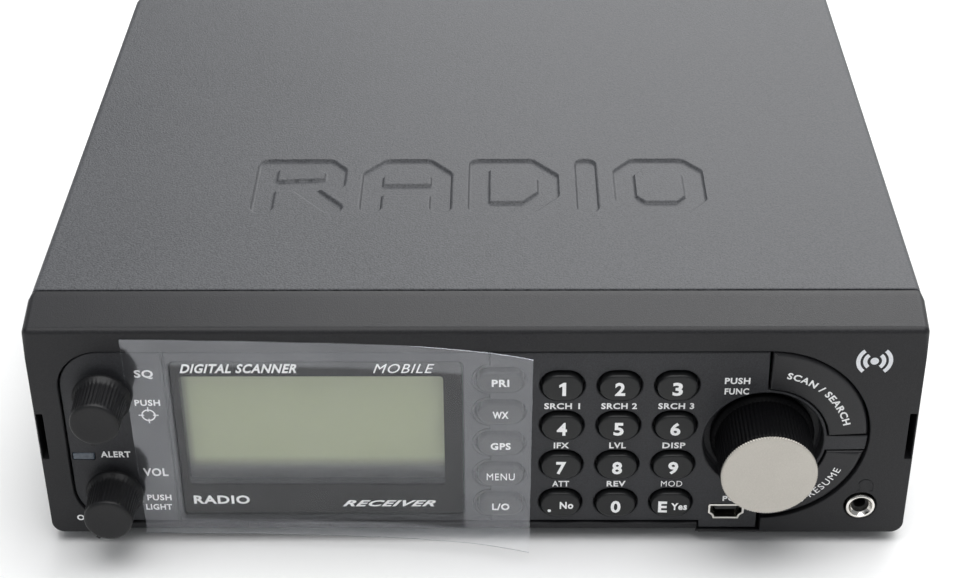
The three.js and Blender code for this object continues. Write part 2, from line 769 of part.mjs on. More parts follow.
// The fixed housing, the turning rotor and the shaft of one control, behind `front`.
function control(name, x, z, front, bushLength, shaftTip) {
  const back = frontBoardFace - gap;
  const bore = shaftRadius + gap;
  const half = housingSide / 2;
  const rotorRadius = half - housingWall;
  const rotorBack = back - gap;
  const rotorFront = rotorBack - rotorThickness;
  const body = block(x - half, x + half, front, back, z - half, z + half);
  const bush = rod(x, z, bore + bushWall, front - bushLength, front + bite);
  const cavity = rod(x, z, rotorRadius + gap, rotorFront - gap, back + reach);
  const hole = rod(x, z, bore, front - reach, back + reach);
  add(`${name}_housing`, cut(body.add(bush), cavity, hole), "connectorBlack");
  const rotor = rod(x, z, rotorRadius, rotorFront, rotorBack);
  add(`${name}_rotor`, rotor.subtract(shaft(x, z, bore, front - reach, back + reach)), "connectorBlack");
  add(`${name}_shaft`, shaft(x, z, shaftRadius, shaftTip, rotorBack - pushTravel), "nickel");
}

function smallKnob(z, pointerTurn) {
  const back = -knobStandOff;
  const face = -knobProud;
  const foot = knobRadius + knobFlare;
  const profile = [
    [0, face], [knobRadius - knobEdge, face], [knobRadius, face + knobEdge],
    [knobRadius + knobNeck, face + knobNeckLength], [knobRadius + knobEdge, back - knobFlareLength],
    [foot, back - knobFoot], [foot, back], [0, back],
  ];
  const body = turned(knobX, z, profile);
  const bore = shaft(knobX, z, shaftRadius + gap, face + knobFront, reach);
  const pointer = boxGeometry(
    -pointerWidth / 2, pointerWidth / 2, face + gap, back - knobFlareLength,
    -knobRadius - pointerProud, -knobRadius + 1,
  );
  pointer.rotateY(pointerTurn).translate(knobX, 0, z);
  return body.add(solidOf(pointer)).subtract(bore);
}

for (const [name, z, pointerTurn] of [
  ["squelch", squelchHeight, squelchPointer],
  ["volume", volumeHeight, volumePointer],
]) {
  control(name, knobX, z, panel.back + gap, panelPlate + gap, -knobProud + knobFront + gap);
  add(`${name}_knob`, smallKnob(z, pointerTurn), "knobBlack");
}

control("dial", dial.x, dial.z, wellBack + wellFloor + gap, wellFloor + gap, -dialProud + dialFront + gap);

function dialKnob() {
  const back = wellBack - pushTravel - gap;
  const face = -dialProud + dialCapThickness + gap;
  const skirt = dialRadius + dialSkirt;
  const profile = [
    [0, face], [dialRadius, face], [dialRadius, back - dialSkirtLength - dialSkirtSlope],
    [skirt, back - dialSkirtLength], [skirt, back], [0, back],
  ];
  const body = turned(dial.x, dial.z, profile, 2 * roundSteps);
  const socketEnd = face + dialCapSpigotLength + gap;
  const socket = rod(dial.x, dial.z, dialCapSpigot + gap, face - reach, socketEnd);
  const bore = shaft(dial.x, dial.z, shaftRadius + gap, -dialProud + dialFront, reach);
  return cut(body, socket, bore);
}

function dialCap() {
  const face = -dialProud;
  const disc = turned(
    dial.x, dial.z,
    [
      [0, face], [dialRadius - dialCapEdge, face], [dialRadius, face + dialCapEdge],
      [dialRadius, face + dialCapThickness], [0, face + dialCapThickness],
    ],
    2 * roundSteps,
  );
  const back = face + dialCapThickness;
  const spigotEnd = back + gap + dialCapSpigotLength;
  return disc.add(rod(dial.x, dial.z, dialCapSpigot, back - bite, spigotEnd));
}

add("dial_knob", dialKnob(), "knobBlack");
add("dial_cap", dialCap(), "silver");

// ---- front connectors

function dataPort() {
  const back = frontBoardFace - gap;
  const shape = (inset) =>
    roundedRectangle(
      portX - portWidth / 2 + inset, portX + portWidth / 2 - inset,
      portAboveUnderside - portHeight / 2 + inset, portAboveUnderside + portHeight / 2 - inset,
      portCorner - inset / 2,
    );
  const shell = prism(shape(0), panel.face, back);
  const mouth = prism(shape(portShell), -reach, back - portFloor);
  const tongueZ = portAboveUnderside + portTongueRise;
  const halfTongue = portWidth / 2 - portTongueMargin;
  const tongue = block(
    portX - halfTongue, portX + halfTongue, panel.face + portTongueSetBack, back - portFloor + bite,
    tongueZ - portTongue / 2, tongueZ + portTongue / 2,
  );
  return shell.subtract(mouth).add(tongue);
}

function phonesJack() {
  const back = frontBoardFace - gap;
  const front = bezelWall + gap;
  const sleeve = rod(phonesX, phonesHeight, phonesRing, -phonesProud, front + bite);
  const half = phonesRing + jackWall;
  const body = block(
    phonesX - half, phonesX + half, front, back, phonesHeight - half, phonesHeight + half,
  );
  const bore = rod(phonesX, phonesHeight, phonesBore, -reach, back - jackFloor);
  return sleeve.add(body).subtract(bore);
}

add("data_port", dataPort(), "nickel");
add("headphone_jack", phonesJack(), "nickel");

// ---- boards, ribbon and speaker

function frontBoard() {
  const inset = bezelWall + frontBoardMargin;
  return block(
    -faceX + inset, faceX - inset, frontBoardFace, frontBoardFace + boardThickness,
    bezelWall + frontBoardLift, bezelHeight - inset,
  );
}

const mainTop = mainBoardHeight + boardThickness;
const behind = rearPanelFace - sheet - gap; // the space behind the rear panel ends here
const mainRear = behind - mainBoardBack;

function mainBoard() {
  const side = trayX - sheet - mainBoardSide;
  const inner = speakerX + speakerRadius + mainBoardToSpeaker;
  const front = block(inner, side, mainBoardFront, mainBoardStep + bite, mainBoardHeight, mainTop);
  return front.add(block(-side, side, mainBoardStep, mainRear, mainBoardHeight, mainTop));
}

// A flat strip from the back of the front board, down and back to the front of the main board.
function ribbonCable() {
  const start = frontBoardFace + boardThickness + gap;
  const landing = mainBoardFront + ribbonOverlap;
  const high = ribbonHeight;
  const low = mainTop + gap;
  const under = [
    [start, high + ribbonOverlap], [start, high], [start + ribbonBend, low + 2 * ribbonBend],
    [start + 3 * ribbonBend, low], [landing, low],
  ];
  const over = under.map(([y, z]) => [y + ribbonThickness, z + ribbonThickness]).reverse();
  over[0][0] = landing;
  over[over.length - 1][1] = high + ribbonOverlap;
  const points = [...under, ...over];
  return beam(points, ribbonX, ribbonX + ribbonWidth);
}

function speaker() {
  const low = trayTop + gap;
  const rim = low + speakerFlange;
  const back = low + speakerBasketDepth;
  return turnedUpright(speakerX, speakerY, [
    [0, low + 1], [speakerRadius - grilleMargin, low], [speakerRadius, low], [speakerRadius, rim],
    [speakerRadius - speakerFlange, rim], [speakerMagnetRadius + 2, back], [speakerMagnetRadius, back],
    [speakerMagnetRadius, back + speakerMagnetDepth], [0, back + speakerMagnetDepth],
  ]);
}

add("front_board", frontBoard(), "board");
add("main_board", mainBoard(), "board");
add("ribbon_cable", ribbonCable(), "ribbon");
add("speaker", speaker(), "connectorBlack");

// ---- rear connectors

// Each function gives a connector and the hole that it needs in the rear panel.

const outside = rearPanelFace;
const fromSide = (distance) => faceX - distance;
const throughHole = (shape) => prism(shape, behind - reach, outside + reach);
const roundHole = (x, z, radius) => rod(x, z, radius, behind - reach, outside + reach);

function antennaConnector() {
  const x = fromSide(antennaFromSide);
  const z = antennaHeight;
  const seat = outside + gap;
  const tip = outside + antennaLength;
  const nut = rod(x, z, antennaNutRadius, seat, seat + antennaNutThickness, 6);
  const barrel = rod(x, z, antennaRadius, behind - connectorTail, tip);
  const lugY = tip - antennaLugFromTip;
  const lugs = block(
    x - antennaRadius - antennaLug, x + antennaRadius + antennaLug, lugY - 1, lugY + 1, z - 1, z + 1,
  );
  const bore = rod(x, z, antennaRadius - antennaWall, seat + antennaNutThickness, tip + reach);
  const insulator = rod(x, z, 2 * antennaPin, seat, tip - 2 * antennaPin, 20);
  const pin = rod(x, z, antennaPin, tip - 3 * antennaPin, tip - antennaPin, 12);
  const solid = joined(cut(joined(nut, barrel, lugs), bore), insulator, pin);
  return { solid, hole: roundHole(x, z, antennaRadius + gap) };
}

function powerJack() {
  const x = fromSide(powerFromSide);
  const half = powerBarrelRadius + powerWall;
  const z = mainTop + gap + half + powerLift;
  const noseRadius = half - gap;
  const body = block(x - half, x + half, mainRear - 12, behind, mainTop + gap, z + half);
  const nose = rod(x, z, noseRadius, behind - bite, outside + noseLength);
  const mouth = rod(x, z, powerBarrelRadius, mainRear - powerDepth, outside + reach);
  const pin = rod(x, z, powerPinRadius, mainRear - powerDepth - bite, outside, 12);
  return { solid: joined(cut(body.add(nose), mouth), pin), hole: roundHole(x, z, noseRadius + gap) };
}

function powerHeader() {
  const x = fromSide(headerFromSide);
  const low = mainTop + gap;
  const middle = low + headerHeight / 2;
  const half = headerWidth / 2;
  const body = block(
    x - half, x + half, mainRear - connectorTail, outside + headerProud, low, low + headerHeight,
  );
  const mouth = block(
    x - half + headerWall, x + half - headerWall, mainRear - connectorTail / 2, outside + reach,
    low + headerWall, low + headerHeight - headerWall,
  );
  const pins = [];
  for (let i = 0; i < headerPins; i++) {
    const pinX = x + (i - (headerPins - 1) / 2) * headerPinPitch;
    pins.push(
      block(
        pinX - headerPinSide / 2, pinX + headerPinSide / 2, mainRear - connectorTail / 2 - bite, outside,
        middle - headerPinSide / 2, middle + headerPinSide / 2,
      ),
    );
  }
  const outline = roundedRectangle(
    x - half - gap, x + half + gap, low - gap, low + headerHeight + gap, gap,
  );
  return { solid: joined(body.subtract(mouth), ...pins), hole: throughHole(outline) };
}

function audioJacks() {
  const x = fromSide(audioFromSide);
  const low = mainTop + gap;
  const z = low + 2 * audioMargin + phonesRing;
  const half = audioPitch / 2 + phonesRing + audioMargin;
  const body = block(x - half, x + half, mainRear - audioDepth, behind, low, z + phonesRing + audioMargin);
  const places = [x - audioPitch / 2, x + audioPitch / 2];
  const sleeves = places.map((at) => rod(at, z, phonesRing, behind - bite, outside + noseLength));
  const bores = places.map((at) =>
    rod(at, z, phonesBore, mainRear - audioDepth + audioMargin, outside + reach),
  );
  const holes = places.map((at) => roundHole(at, z, phonesRing + gap));
  return { solid: cut(joined(body, ...sleeves), ...bores), hole: joined(...holes) };
}

function dShape(x, z, width, height) {
  const lean = height * serialLean;
  const corners = [
    [-width / 2, height / 2], [width / 2, height / 2],
    [width / 2 - lean, -height / 2], [-width / 2 + lean, -height / 2],
  ];
  return new THREE.Shape(corners.map(([a, b]) => new THREE.Vector2(x + a, z + b)));
}

function serialPort() {
  const x = fromSide(serialFromSide);
  const z = mainTop + gap + serialPlateHeight / 2;
  const seat = outside + gap;
  const plateFace = seat + serialPlateThickness;
  const plate = block(
    x - serialPlateWidth / 2, x + serialPlateWidth / 2, seat, plateFace,
    z - serialPlateHeight / 2, z + serialPlateHeight / 2,
  );
  const outline = (grow) => dShape(x, z, serialShellWidth + grow, serialShellHeight + grow);
  const shell = prism(outline(0), behind - connectorTail, seat + serialShellLength);
  const mouth = prism(outline(-2 * serialShellWall), plateFace, seat + 2 * reach);
  const pins = [];
  for (const [count, rowZ] of [[5, z + serialPinRow], [4, z - serialPinRow]]) {
    for (let i = 0; i < count; i++) {
      const pinX = x + (i - (count - 1) / 2) * serialPinPitch;
      pins.push(rod(pinX, rowZ, serialPinRadius, seat, seat + serialShellLength - 1, 8));
    }
  }
  return { solid: joined(cut(plate.add(shell), mouth), ...pins), hole: throughHole(outline(2.6 * gap)) };
}

const rearConnectors = [
  { name: "antenna_connector", look: "nickel", ...antennaConnector() },
  { name: "power_jack", look: "connectorBlack", ...powerJack() },
  { name: "power_header", look: "connectorBlack", ...powerHeader() },
  { name: "audio_jack_pair", look: "connectorBlack", ...audioJacks() },
  { name: "serial_port", look: "nickel", ...serialPort() },
];
for (const { name, solid, look } of rearConnectors) add(name, solid, look);
add("rear_panel", rearPanel(), "paintedSteel");

// The knob faces are the foremost points and the antenna connector the rearmost.
const foremost = -Math.max(dialProud, knobProud);
const rearmost = outside + antennaLength;
scanner.position.set(0, -(foremost + rearmost) / 2, footHeight);

export default scanner;
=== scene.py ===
"""Looks of a desktop and in-car police scanner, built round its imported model.

Lengths in this file are millimetres in the front's own frame: x to the right, y back from the
bezel's face, z up from the bezel's underside. at() turns them into metres in the model's frame.
"""

import math

import bmesh
import bpy
import numpy as np
from mathutils import Matrix, Vector
from mathutils.geometry import delaunay_2d_cdt


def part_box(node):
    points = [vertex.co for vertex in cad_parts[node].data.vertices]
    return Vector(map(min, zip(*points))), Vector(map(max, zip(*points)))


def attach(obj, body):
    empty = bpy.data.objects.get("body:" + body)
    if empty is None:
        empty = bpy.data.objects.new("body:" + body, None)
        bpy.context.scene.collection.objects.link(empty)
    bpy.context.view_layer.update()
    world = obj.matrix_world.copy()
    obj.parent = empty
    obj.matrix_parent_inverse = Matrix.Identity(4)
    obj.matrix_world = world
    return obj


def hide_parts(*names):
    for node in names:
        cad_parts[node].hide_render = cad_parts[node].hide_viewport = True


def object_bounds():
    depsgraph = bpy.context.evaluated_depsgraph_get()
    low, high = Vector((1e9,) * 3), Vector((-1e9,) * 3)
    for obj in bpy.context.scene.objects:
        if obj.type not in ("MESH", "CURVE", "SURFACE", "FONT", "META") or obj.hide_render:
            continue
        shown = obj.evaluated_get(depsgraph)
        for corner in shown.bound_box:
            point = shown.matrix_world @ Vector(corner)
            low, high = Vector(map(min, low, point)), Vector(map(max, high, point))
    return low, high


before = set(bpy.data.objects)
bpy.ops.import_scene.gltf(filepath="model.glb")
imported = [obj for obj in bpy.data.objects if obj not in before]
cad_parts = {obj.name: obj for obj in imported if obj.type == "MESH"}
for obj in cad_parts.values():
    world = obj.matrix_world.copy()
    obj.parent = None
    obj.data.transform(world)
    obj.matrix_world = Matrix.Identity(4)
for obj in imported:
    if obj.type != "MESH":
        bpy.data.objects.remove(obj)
cad_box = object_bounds()

MM = 0.001
ORIGIN = np.array([0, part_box("front_bezel")[0].y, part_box("front_bezel")[0].z]) / MM


def at(points):
    """Points of the front's frame, in millimetres, as metres in the model's frame."""
    return (np.asarray(points, float) + ORIGIN) * MM


def box_of(node):
    """A node's lowest and highest corner in the front's frame, in millimetres."""
    low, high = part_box(node)
    return np.array(low) / MM - ORIGIN, np.array(high) / MM - ORIGIN


# ---------------------------------------------------------------- camera, floor and light

CAMERA_SPOT = (5.70, -322.67, 276.14)
CAMERA_PITCH, CAMERA_YAW, CAMERA_ROLL = (math.radians(a) for a in (33.466, -0.796, 0.508))
LENS, SENSOR = 73.28, 36.0


def make_camera():
    """A camera whose forward line is yawed, then pitched down, and rolled about itself."""
    pitch, yaw, roll = CAMERA_PITCH, CAMERA_YAW, CAMERA_ROLL
    forward = Vector((
        math.sin(yaw) * math.cos(pitch), math.cos(yaw) * math.cos(pitch), -math.sin(pitch)))
    right = Vector((math.cos(yaw), -math.sin(yaw), 0))
    down = forward.cross(right)
    across = math.cos(roll) * right + math.sin(roll) * down
    up = math.sin(roll) * right - math.cos(roll) * down
    data = bpy.data.cameras.new("camera")
    data.lens, data.sensor_width = LENS, SENSOR
    data.clip_start, data.clip_end = 0.01, 20
    camera = bpy.data.objects.new("camera", data)
    camera.matrix_world = Matrix.Translation(at(CAMERA_SPOT)) @ Matrix(
        (across, up, -forward)).transposed().to_4x4()
    bpy.context.scene.collection.objects.link(camera)
    bpy.context.scene.camera = camera


def area_light(name, spot, target, size, power):
    """A rectangular softbox at spot, facing target."""
    data = bpy.data.lights.new(name, "AREA")
    data.shape, data.size, data.size_y = "RECTANGLE", size[0], size[1]
    data.energy = power
    light = bpy.data.objects.new(name, data)
    light.location = spot
    light.rotation_euler = (Vector(target) - Vector(spot)).to_track_quat("-Z", "Y").to_euler()
    bpy.context.scene.collection.objects.link(light)


def make_lights():
    """A large softbox overhead, one behind and a weak one in front, in a dim bluish studio."""
    area_light("top_softbox", (0.1, -0.12, 1.2), (0, -0.05, 0), (1.4, 1.1), 20)
    area_light("rear_softbox", (0.4, 1.25, 0.75), (0, 0.05, 0.05), (1.5, 0.5), 14)
    area_light("front_softbox", (-0.2, -1.3, 0.9), (0, -0.1, 0), (0.9, 0.6), 0.9)
    world = bpy.data.worlds.new("studio")
    world.use_nodes = True
    background = world.node_tree.nodes["Background"]
    background.inputs["Color"].default_value = (0.93, 0.96, 1.0, 1)
    background.inputs["Strength"].default_value = 0.27
    scene = bpy.context.scene
    scene.world = world
    scene.view_settings.view_transform = "Standard"


def make_floor():
    """A level square under the object."""
    half, level = 3.0, cad_box[0].z
    mesh = bpy.data.meshes.new("floor")
    corners = [(-half, -half, level), (half, -half, level), (half, half, level), (-half, half, level)]
    mesh.from_pydata(corners, [], [(0, 1, 2, 3)])
    mesh.materials.append(floor_paper())
    floor = bpy.data.objects.new("floor", mesh)
    bpy.context.scene.collection.objects.link(floor)


# ---------------------------------------------------------------- materials

def link(tree, out, socket):
    """Joins an output to an input."""
    tree.links.new(out, socket)


def worked(tree, operation, *values):
    """A Math node's result; each value is a number or another node's output."""
    node = tree.nodes.new("ShaderNodeMath")
    node.operation = operation
    for socket, value in zip(node.inputs, values):
        if isinstance(value, bpy.types.NodeSocket):
            link(tree, value, socket)
        else:
            socket.default_value = value
    return node.outputs[0]


def place_on_piece(tree):
    """The place on a piece, in metres in its own frame."""
    return tree.nodes.new("ShaderNodeTexCoord").outputs["Object"]


def new_group(name, inputs, outputs):
    """An empty node group with those sockets, as (tree, its input node, its output node)."""
    tree = bpy.data.node_groups.new(name, "ShaderNodeTree")
    for label, value in inputs:
        socket = tree.interface.new_socket(label, in_out="INPUT", socket_type="NodeSocketFloat")
        socket.default_value = value
    for label, kind in outputs:
        tree.interface.new_socket(label, in_out="OUTPUT", socket_type=kind)
    return tree, tree.nodes.new("NodeGroupInput"), tree.nodes.new("NodeGroupOutput")


def pattern(tree, kind, size):
    """A texture over a piece, with features about as large as size says in millimetres."""
    node = tree.nodes.new(kind)
    link(tree, place_on_piece(tree), node.inputs["Vector"])
    link(tree, worked(tree, "DIVIDE", 1 / MM, size), node.inputs["Scale"])
    return node


def grain_group():
    """Fine moulded or sprayed grain: a noise plus half as much of cells, as a mask and a normal."""
    tree, given, out = new_group(
        "fine_grain", [("Size", 0.4), ("Depth", 0.02)],
        [("Mask", "NodeSocketFloat"), ("Normal", "NodeSocketVector")])
    noise = pattern(tree, "ShaderNodeTexNoise", given.outputs["Size"])
    noise.inputs["Detail"].default_value = 3
    noise.inputs["Roughness"].default_value = 0.65
    cells = pattern(tree, "ShaderNodeTexVoronoi", given.outputs["Size"])
    mask = worked(tree, "MULTIPLY_ADD", cells.outputs["Distance"], 0.5, noise.outputs["Fac"])
    bump = tree.nodes.new("ShaderNodeBump")
    link(tree, worked(tree, "MULTIPLY", given.outputs["Depth"], MM), bump.inputs["Distance"])
    link(tree, mask, bump.inputs["Height"])
    link(tree, mask, out.inputs["Mask"])
    link(tree, bump.outputs["Normal"], out.inputs["Normal"])
    return tree


def cloud_group():
    """Slow uneven tone over a surface, from a broad noise, as a mask round 0.5."""
    tree, given, out = new_group("slow_clouds", [("Size", 30.0)], [("Mask", "NodeSocketFloat")])
    noise = pattern(tree, "ShaderNodeTexNoise", given.outputs["Size"])
    noise.inputs["Detail"].default_value = 2
    link(tree, noise.outputs["Fac"], out.inputs["Mask"])
    return tree


GRAIN = grain_group()
CLOUDS = cloud_group()
TONE_LOW, TONE_HIGH = 0.45, 0.85        # the mask's values at a finish's darkest and lightest tone


def shader_material(name):
    """A new material, as (itself, its tree, its shader)."""
    material = bpy.data.materials.new(name)
    material.use_nodes = True
    return material, material.node_tree, material.node_tree.nodes["Principled BSDF"]


def set_sockets(bsdf, **values):
    """Sets the shader's own sockets; an underscore in a name stands for a space."""
    for label, value in values.items():
        bsdf.inputs[label.replace("_", " ")].default_value = value


def placed_group(tree, group, **values):
    """A node group in a material, with its own values."""
    node = tree.nodes.new("ShaderNodeGroup")
    node.node_tree = group
    for label, value in values.items():
        node.inputs[label].default_value = value
    return node


def ramp_between(tree, fac, low, high, dark, light):
    """A colour that goes from dark to light while fac goes from low to high."""
    ramp = tree.nodes.new("ShaderNodeValToRGB")
    for element, spot, colour in zip(ramp.color_ramp.elements, (low, high), (dark, light)):
        element.position, element.color = spot, (*colour, 1)
    link(tree, fac, ramp.inputs["Fac"])
    return ramp.outputs["Color"]


def value_between(tree, fac, low, high, first, last, way="LINEAR"):
    """A number that goes from first to last while fac goes from low to high."""
    node = tree.nodes.new("ShaderNodeMapRange")
    node.interpolation_type = way
    for label, value in (
            ("From Min", low), ("From Max", high), ("To Min", first), ("To Max", last)):
        node.inputs[label].default_value = value
    link(tree, fac, node.inputs["Value"])
    return node.outputs["Result"]


def grained(name, dark, light, rough, grain_size, grain_depth, metallic=0.0, coat=0.0, cloud=30.0,
            cloud_share=0.3, specular=0.5):
    """A painted or moulded finish: tone from fine grain and slow clouds, roughness to match."""
    material, tree, bsdf = shader_material(name)
    grain = placed_group(tree, GRAIN, Size=grain_size, Depth=grain_depth)
    clouds = placed_group(tree, CLOUDS, Size=cloud)
    slow = worked(tree, "MULTIPLY", clouds.outputs["Mask"], cloud_share)
    tone = worked(tree, "MULTIPLY_ADD", grain.outputs["Mask"], 1 - cloud_share, slow)
    link(tree, ramp_between(tree, tone, TONE_LOW, TONE_HIGH, dark, light), bsdf.inputs["Base Color"])
    link(tree, value_between(tree, tone, TONE_LOW, TONE_HIGH, *rough), bsdf.inputs["Roughness"])
    link(tree, grain.outputs["Normal"], bsdf.inputs["Normal"])
    set_sockets(bsdf, Metallic=metallic, Specular_IOR_Level=specular, Coat_Weight=coat)
    return material


def floor_paper():
    """White paper with a slow change of tone."""
    material, tree, bsdf = shader_material("floor_paper")
    clouds = placed_group(tree, CLOUDS, Size=180.0)
    tone = ramp_between(tree, clouds.outputs["Mask"], 0.3, 0.7, (0.87, 0.87, 0.86), (0.91, 0.91, 0.91))
    link(tree, tone, bsdf.inputs["Base Color"])
    set_sockets(bsdf, Roughness=0.7, Specular_IOR_Level=0.2)
    return material


def place_axes(tree):
    """The x, y and z of the place on a piece, as three outputs."""
    split = tree.nodes.new("ShaderNodeSeparateXYZ")
    link(tree, place_on_piece(tree), split.inputs[0])
    return split.outputs


def display_glass_with_painted_shade():
    """Unlit liquid crystal: olive grey, with painted shade: it fades to a dark band along its lower edge
    and darkens at its left end.
    """
    material, tree, bsdf = shader_material("display_glass_with_painted_shade")
    axes = place_axes(tree)
    left, _, low = at((LCD_LEFT, 0, LCD_LOW))
    # painted shade: the display darkens over its lowest few millimetres
    band = value_between(tree, axes["Z"], low + 2.2 * MM, low + 6.5 * MM, 0.0, 1.0, "SMOOTHSTEP")
    # painted shade: the display darkens towards its left end
    end = value_between(tree, axes["X"], left - 0.3 * MM, left + 2.0 * MM, 0.35, 1.0, "SMOOTHSTEP")
    grain = placed_group(tree, GRAIN, Size=0.5, Depth=0.0)
    # painted shade: both masks pull the colour towards the ramp's dark end, on top of a faint grain
    tone = worked(tree, "MULTIPLY_ADD", grain.outputs["Mask"], 0.05, worked(tree, "MULTIPLY", band, end))
    colour = ramp_between(tree, tone, 0.02, 1.05, (0.050, 0.050, 0.047), (0.325, 0.360, 0.210))
    link(tree, colour, bsdf.inputs["Base Color"])
    set_sockets(bsdf, Roughness=0.35, Coat_Weight=0.4, Coat_Roughness=0.05)
    return material


def box_mask(tree, low, high, soft):
    """1 inside a box in x and z, in metres, and 0 outside it, with soft sides."""
    axes = place_axes(tree)
    mask = 1.0
    for axis in (0, 2):
        for edge, way in ((low[axis], 1), (high[axis], -1)):
            side = value_between(tree, axes[axis], edge - way * soft, edge + way * soft, 0.0, 1.0)
            mask = worked(tree, "MULTIPLY", mask, side)
    return mask


def mirror_film(name, strength, edge_strength, held=None):
    """A clear sheet: a weak mirror over what is behind it, stronger along its cut edges and
    weaker inside the box held = (low, high), where it clings to the window."""
    material, tree, bsdf = shader_material(name)
    edge = tree.nodes.new("ShaderNodeAttribute")
    edge.attribute_name = "cut_edge"
    clouds = placed_group(tree, CLOUDS, Size=9.0)
    veil = value_between(tree, clouds.outputs["Mask"], 0.3, 0.7, 0.93 * strength, 1.07 * strength)
    if held:
        clinging = value_between(tree, box_mask(tree, *held, 0.5 * MM), 0.0, 1.0, 1.0, 0.28)
        veil = worked(tree, "MULTIPLY", veil, clinging)
    alpha = worked(tree, "MULTIPLY_ADD", edge.outputs["Fac"], edge_strength, veil)
    link(tree, alpha, bsdf.inputs["Alpha"])
    set_sockets(bsdf, Base_Color=(0.93, 0.95, 1.0, 1), Metallic=1.0, Roughness=0.12)
    return material


# ---------------------------------------------------------------- outlines in x and z

def arc(x, z, radius, start, end, steps):
    """Points of a circle's arc, from one angle to another in degrees, both ends included."""
    angle = np.radians(np.linspace(start, end, steps + 1))
    return np.stack([x + radius * np.cos(angle), z + radius * np.sin(angle)], -1)


def closed(*parts):
    """The parts joined into one loop, without repeated points."""
    points = np.concatenate([np.atleast_2d(np.asarray(p, float)) for p in parts])
    apart = np.linalg.norm(points - np.roll(points, 1, 0), axis=1) > 1e-4
    return points[apart]


def rounded_box(x0, x1, z0, z1, radius, steps=8):
    """A rectangle with a quarter circle at each corner, anticlockwise."""
    r = min(radius, (x1 - x0) / 2 - 1e-3, (z1 - z0) / 2 - 1e-3)
    return closed(
        arc(x1 - r, z0 + r, r, -90, 0, steps), arc(x1 - r, z1 - r, r, 0, 90, steps),
        arc(x0 + r, z1 - r, r, 90, 180, steps), arc(x0 + r, z0 + r, r, 180, 270, steps))


def circle(x, z, radius, steps=64):
    """A circle's points, without its last one again."""
    return arc(x, z, radius, 0, 360, steps)[:-1]


def placed(loop, y):
    """An x-z loop as points in space, at one y or at a y per point."""
    return np.stack([loop[:, 0], np.broadcast_to(y, len(loop)), loop[:, 1]], -1)


def unit(vectors):
    """Each vector over its length."""
    return vectors / np.maximum(np.linalg.norm(vectors, axis=-1, keepdims=True), 1e-12)


SHARPEST = 0.35         # keeps the point of a sharp corner from running far out


def offset(outline, distance):
    """Each point moved out along the mean of its two edges' normals, so that edges stay parallel."""
    before = unit(outline - np.roll(outline, 1, 0))
    after = unit(np.roll(outline, -1, 0) - outline)
    normal_in = np.stack([before[:, 1], -before[:, 0]], -1)
    normal_out = np.stack([after[:, 1], -after[:, 0]], -1)
    mean = unit(normal_in + normal_out)
    share = np.maximum((mean * normal_in).sum(1), SHARPEST)
    return outline + mean * (np.asarray(distance) / share)[:, None]


def inside(points, outline):
    """Which points lie in an outline: those with an odd number of its edges to their right."""
    x, z = points[:, 0:1], points[:, 1:2]
    x1, z1 = outline[:, 0], outline[:, 1]
    x2, z2 = np.roll(x1, -1), np.roll(z1, -1)
    spans = (z1 > z) != (z2 > z)
    cross = x1 + (z - z1) * (x2 - x1) / np.where(z2 == z1, 1e-12, z2 - z1)
    return (spans & (x < cross)).sum(1) % 2 == 1


# ---------------------------------------------------------------- skins

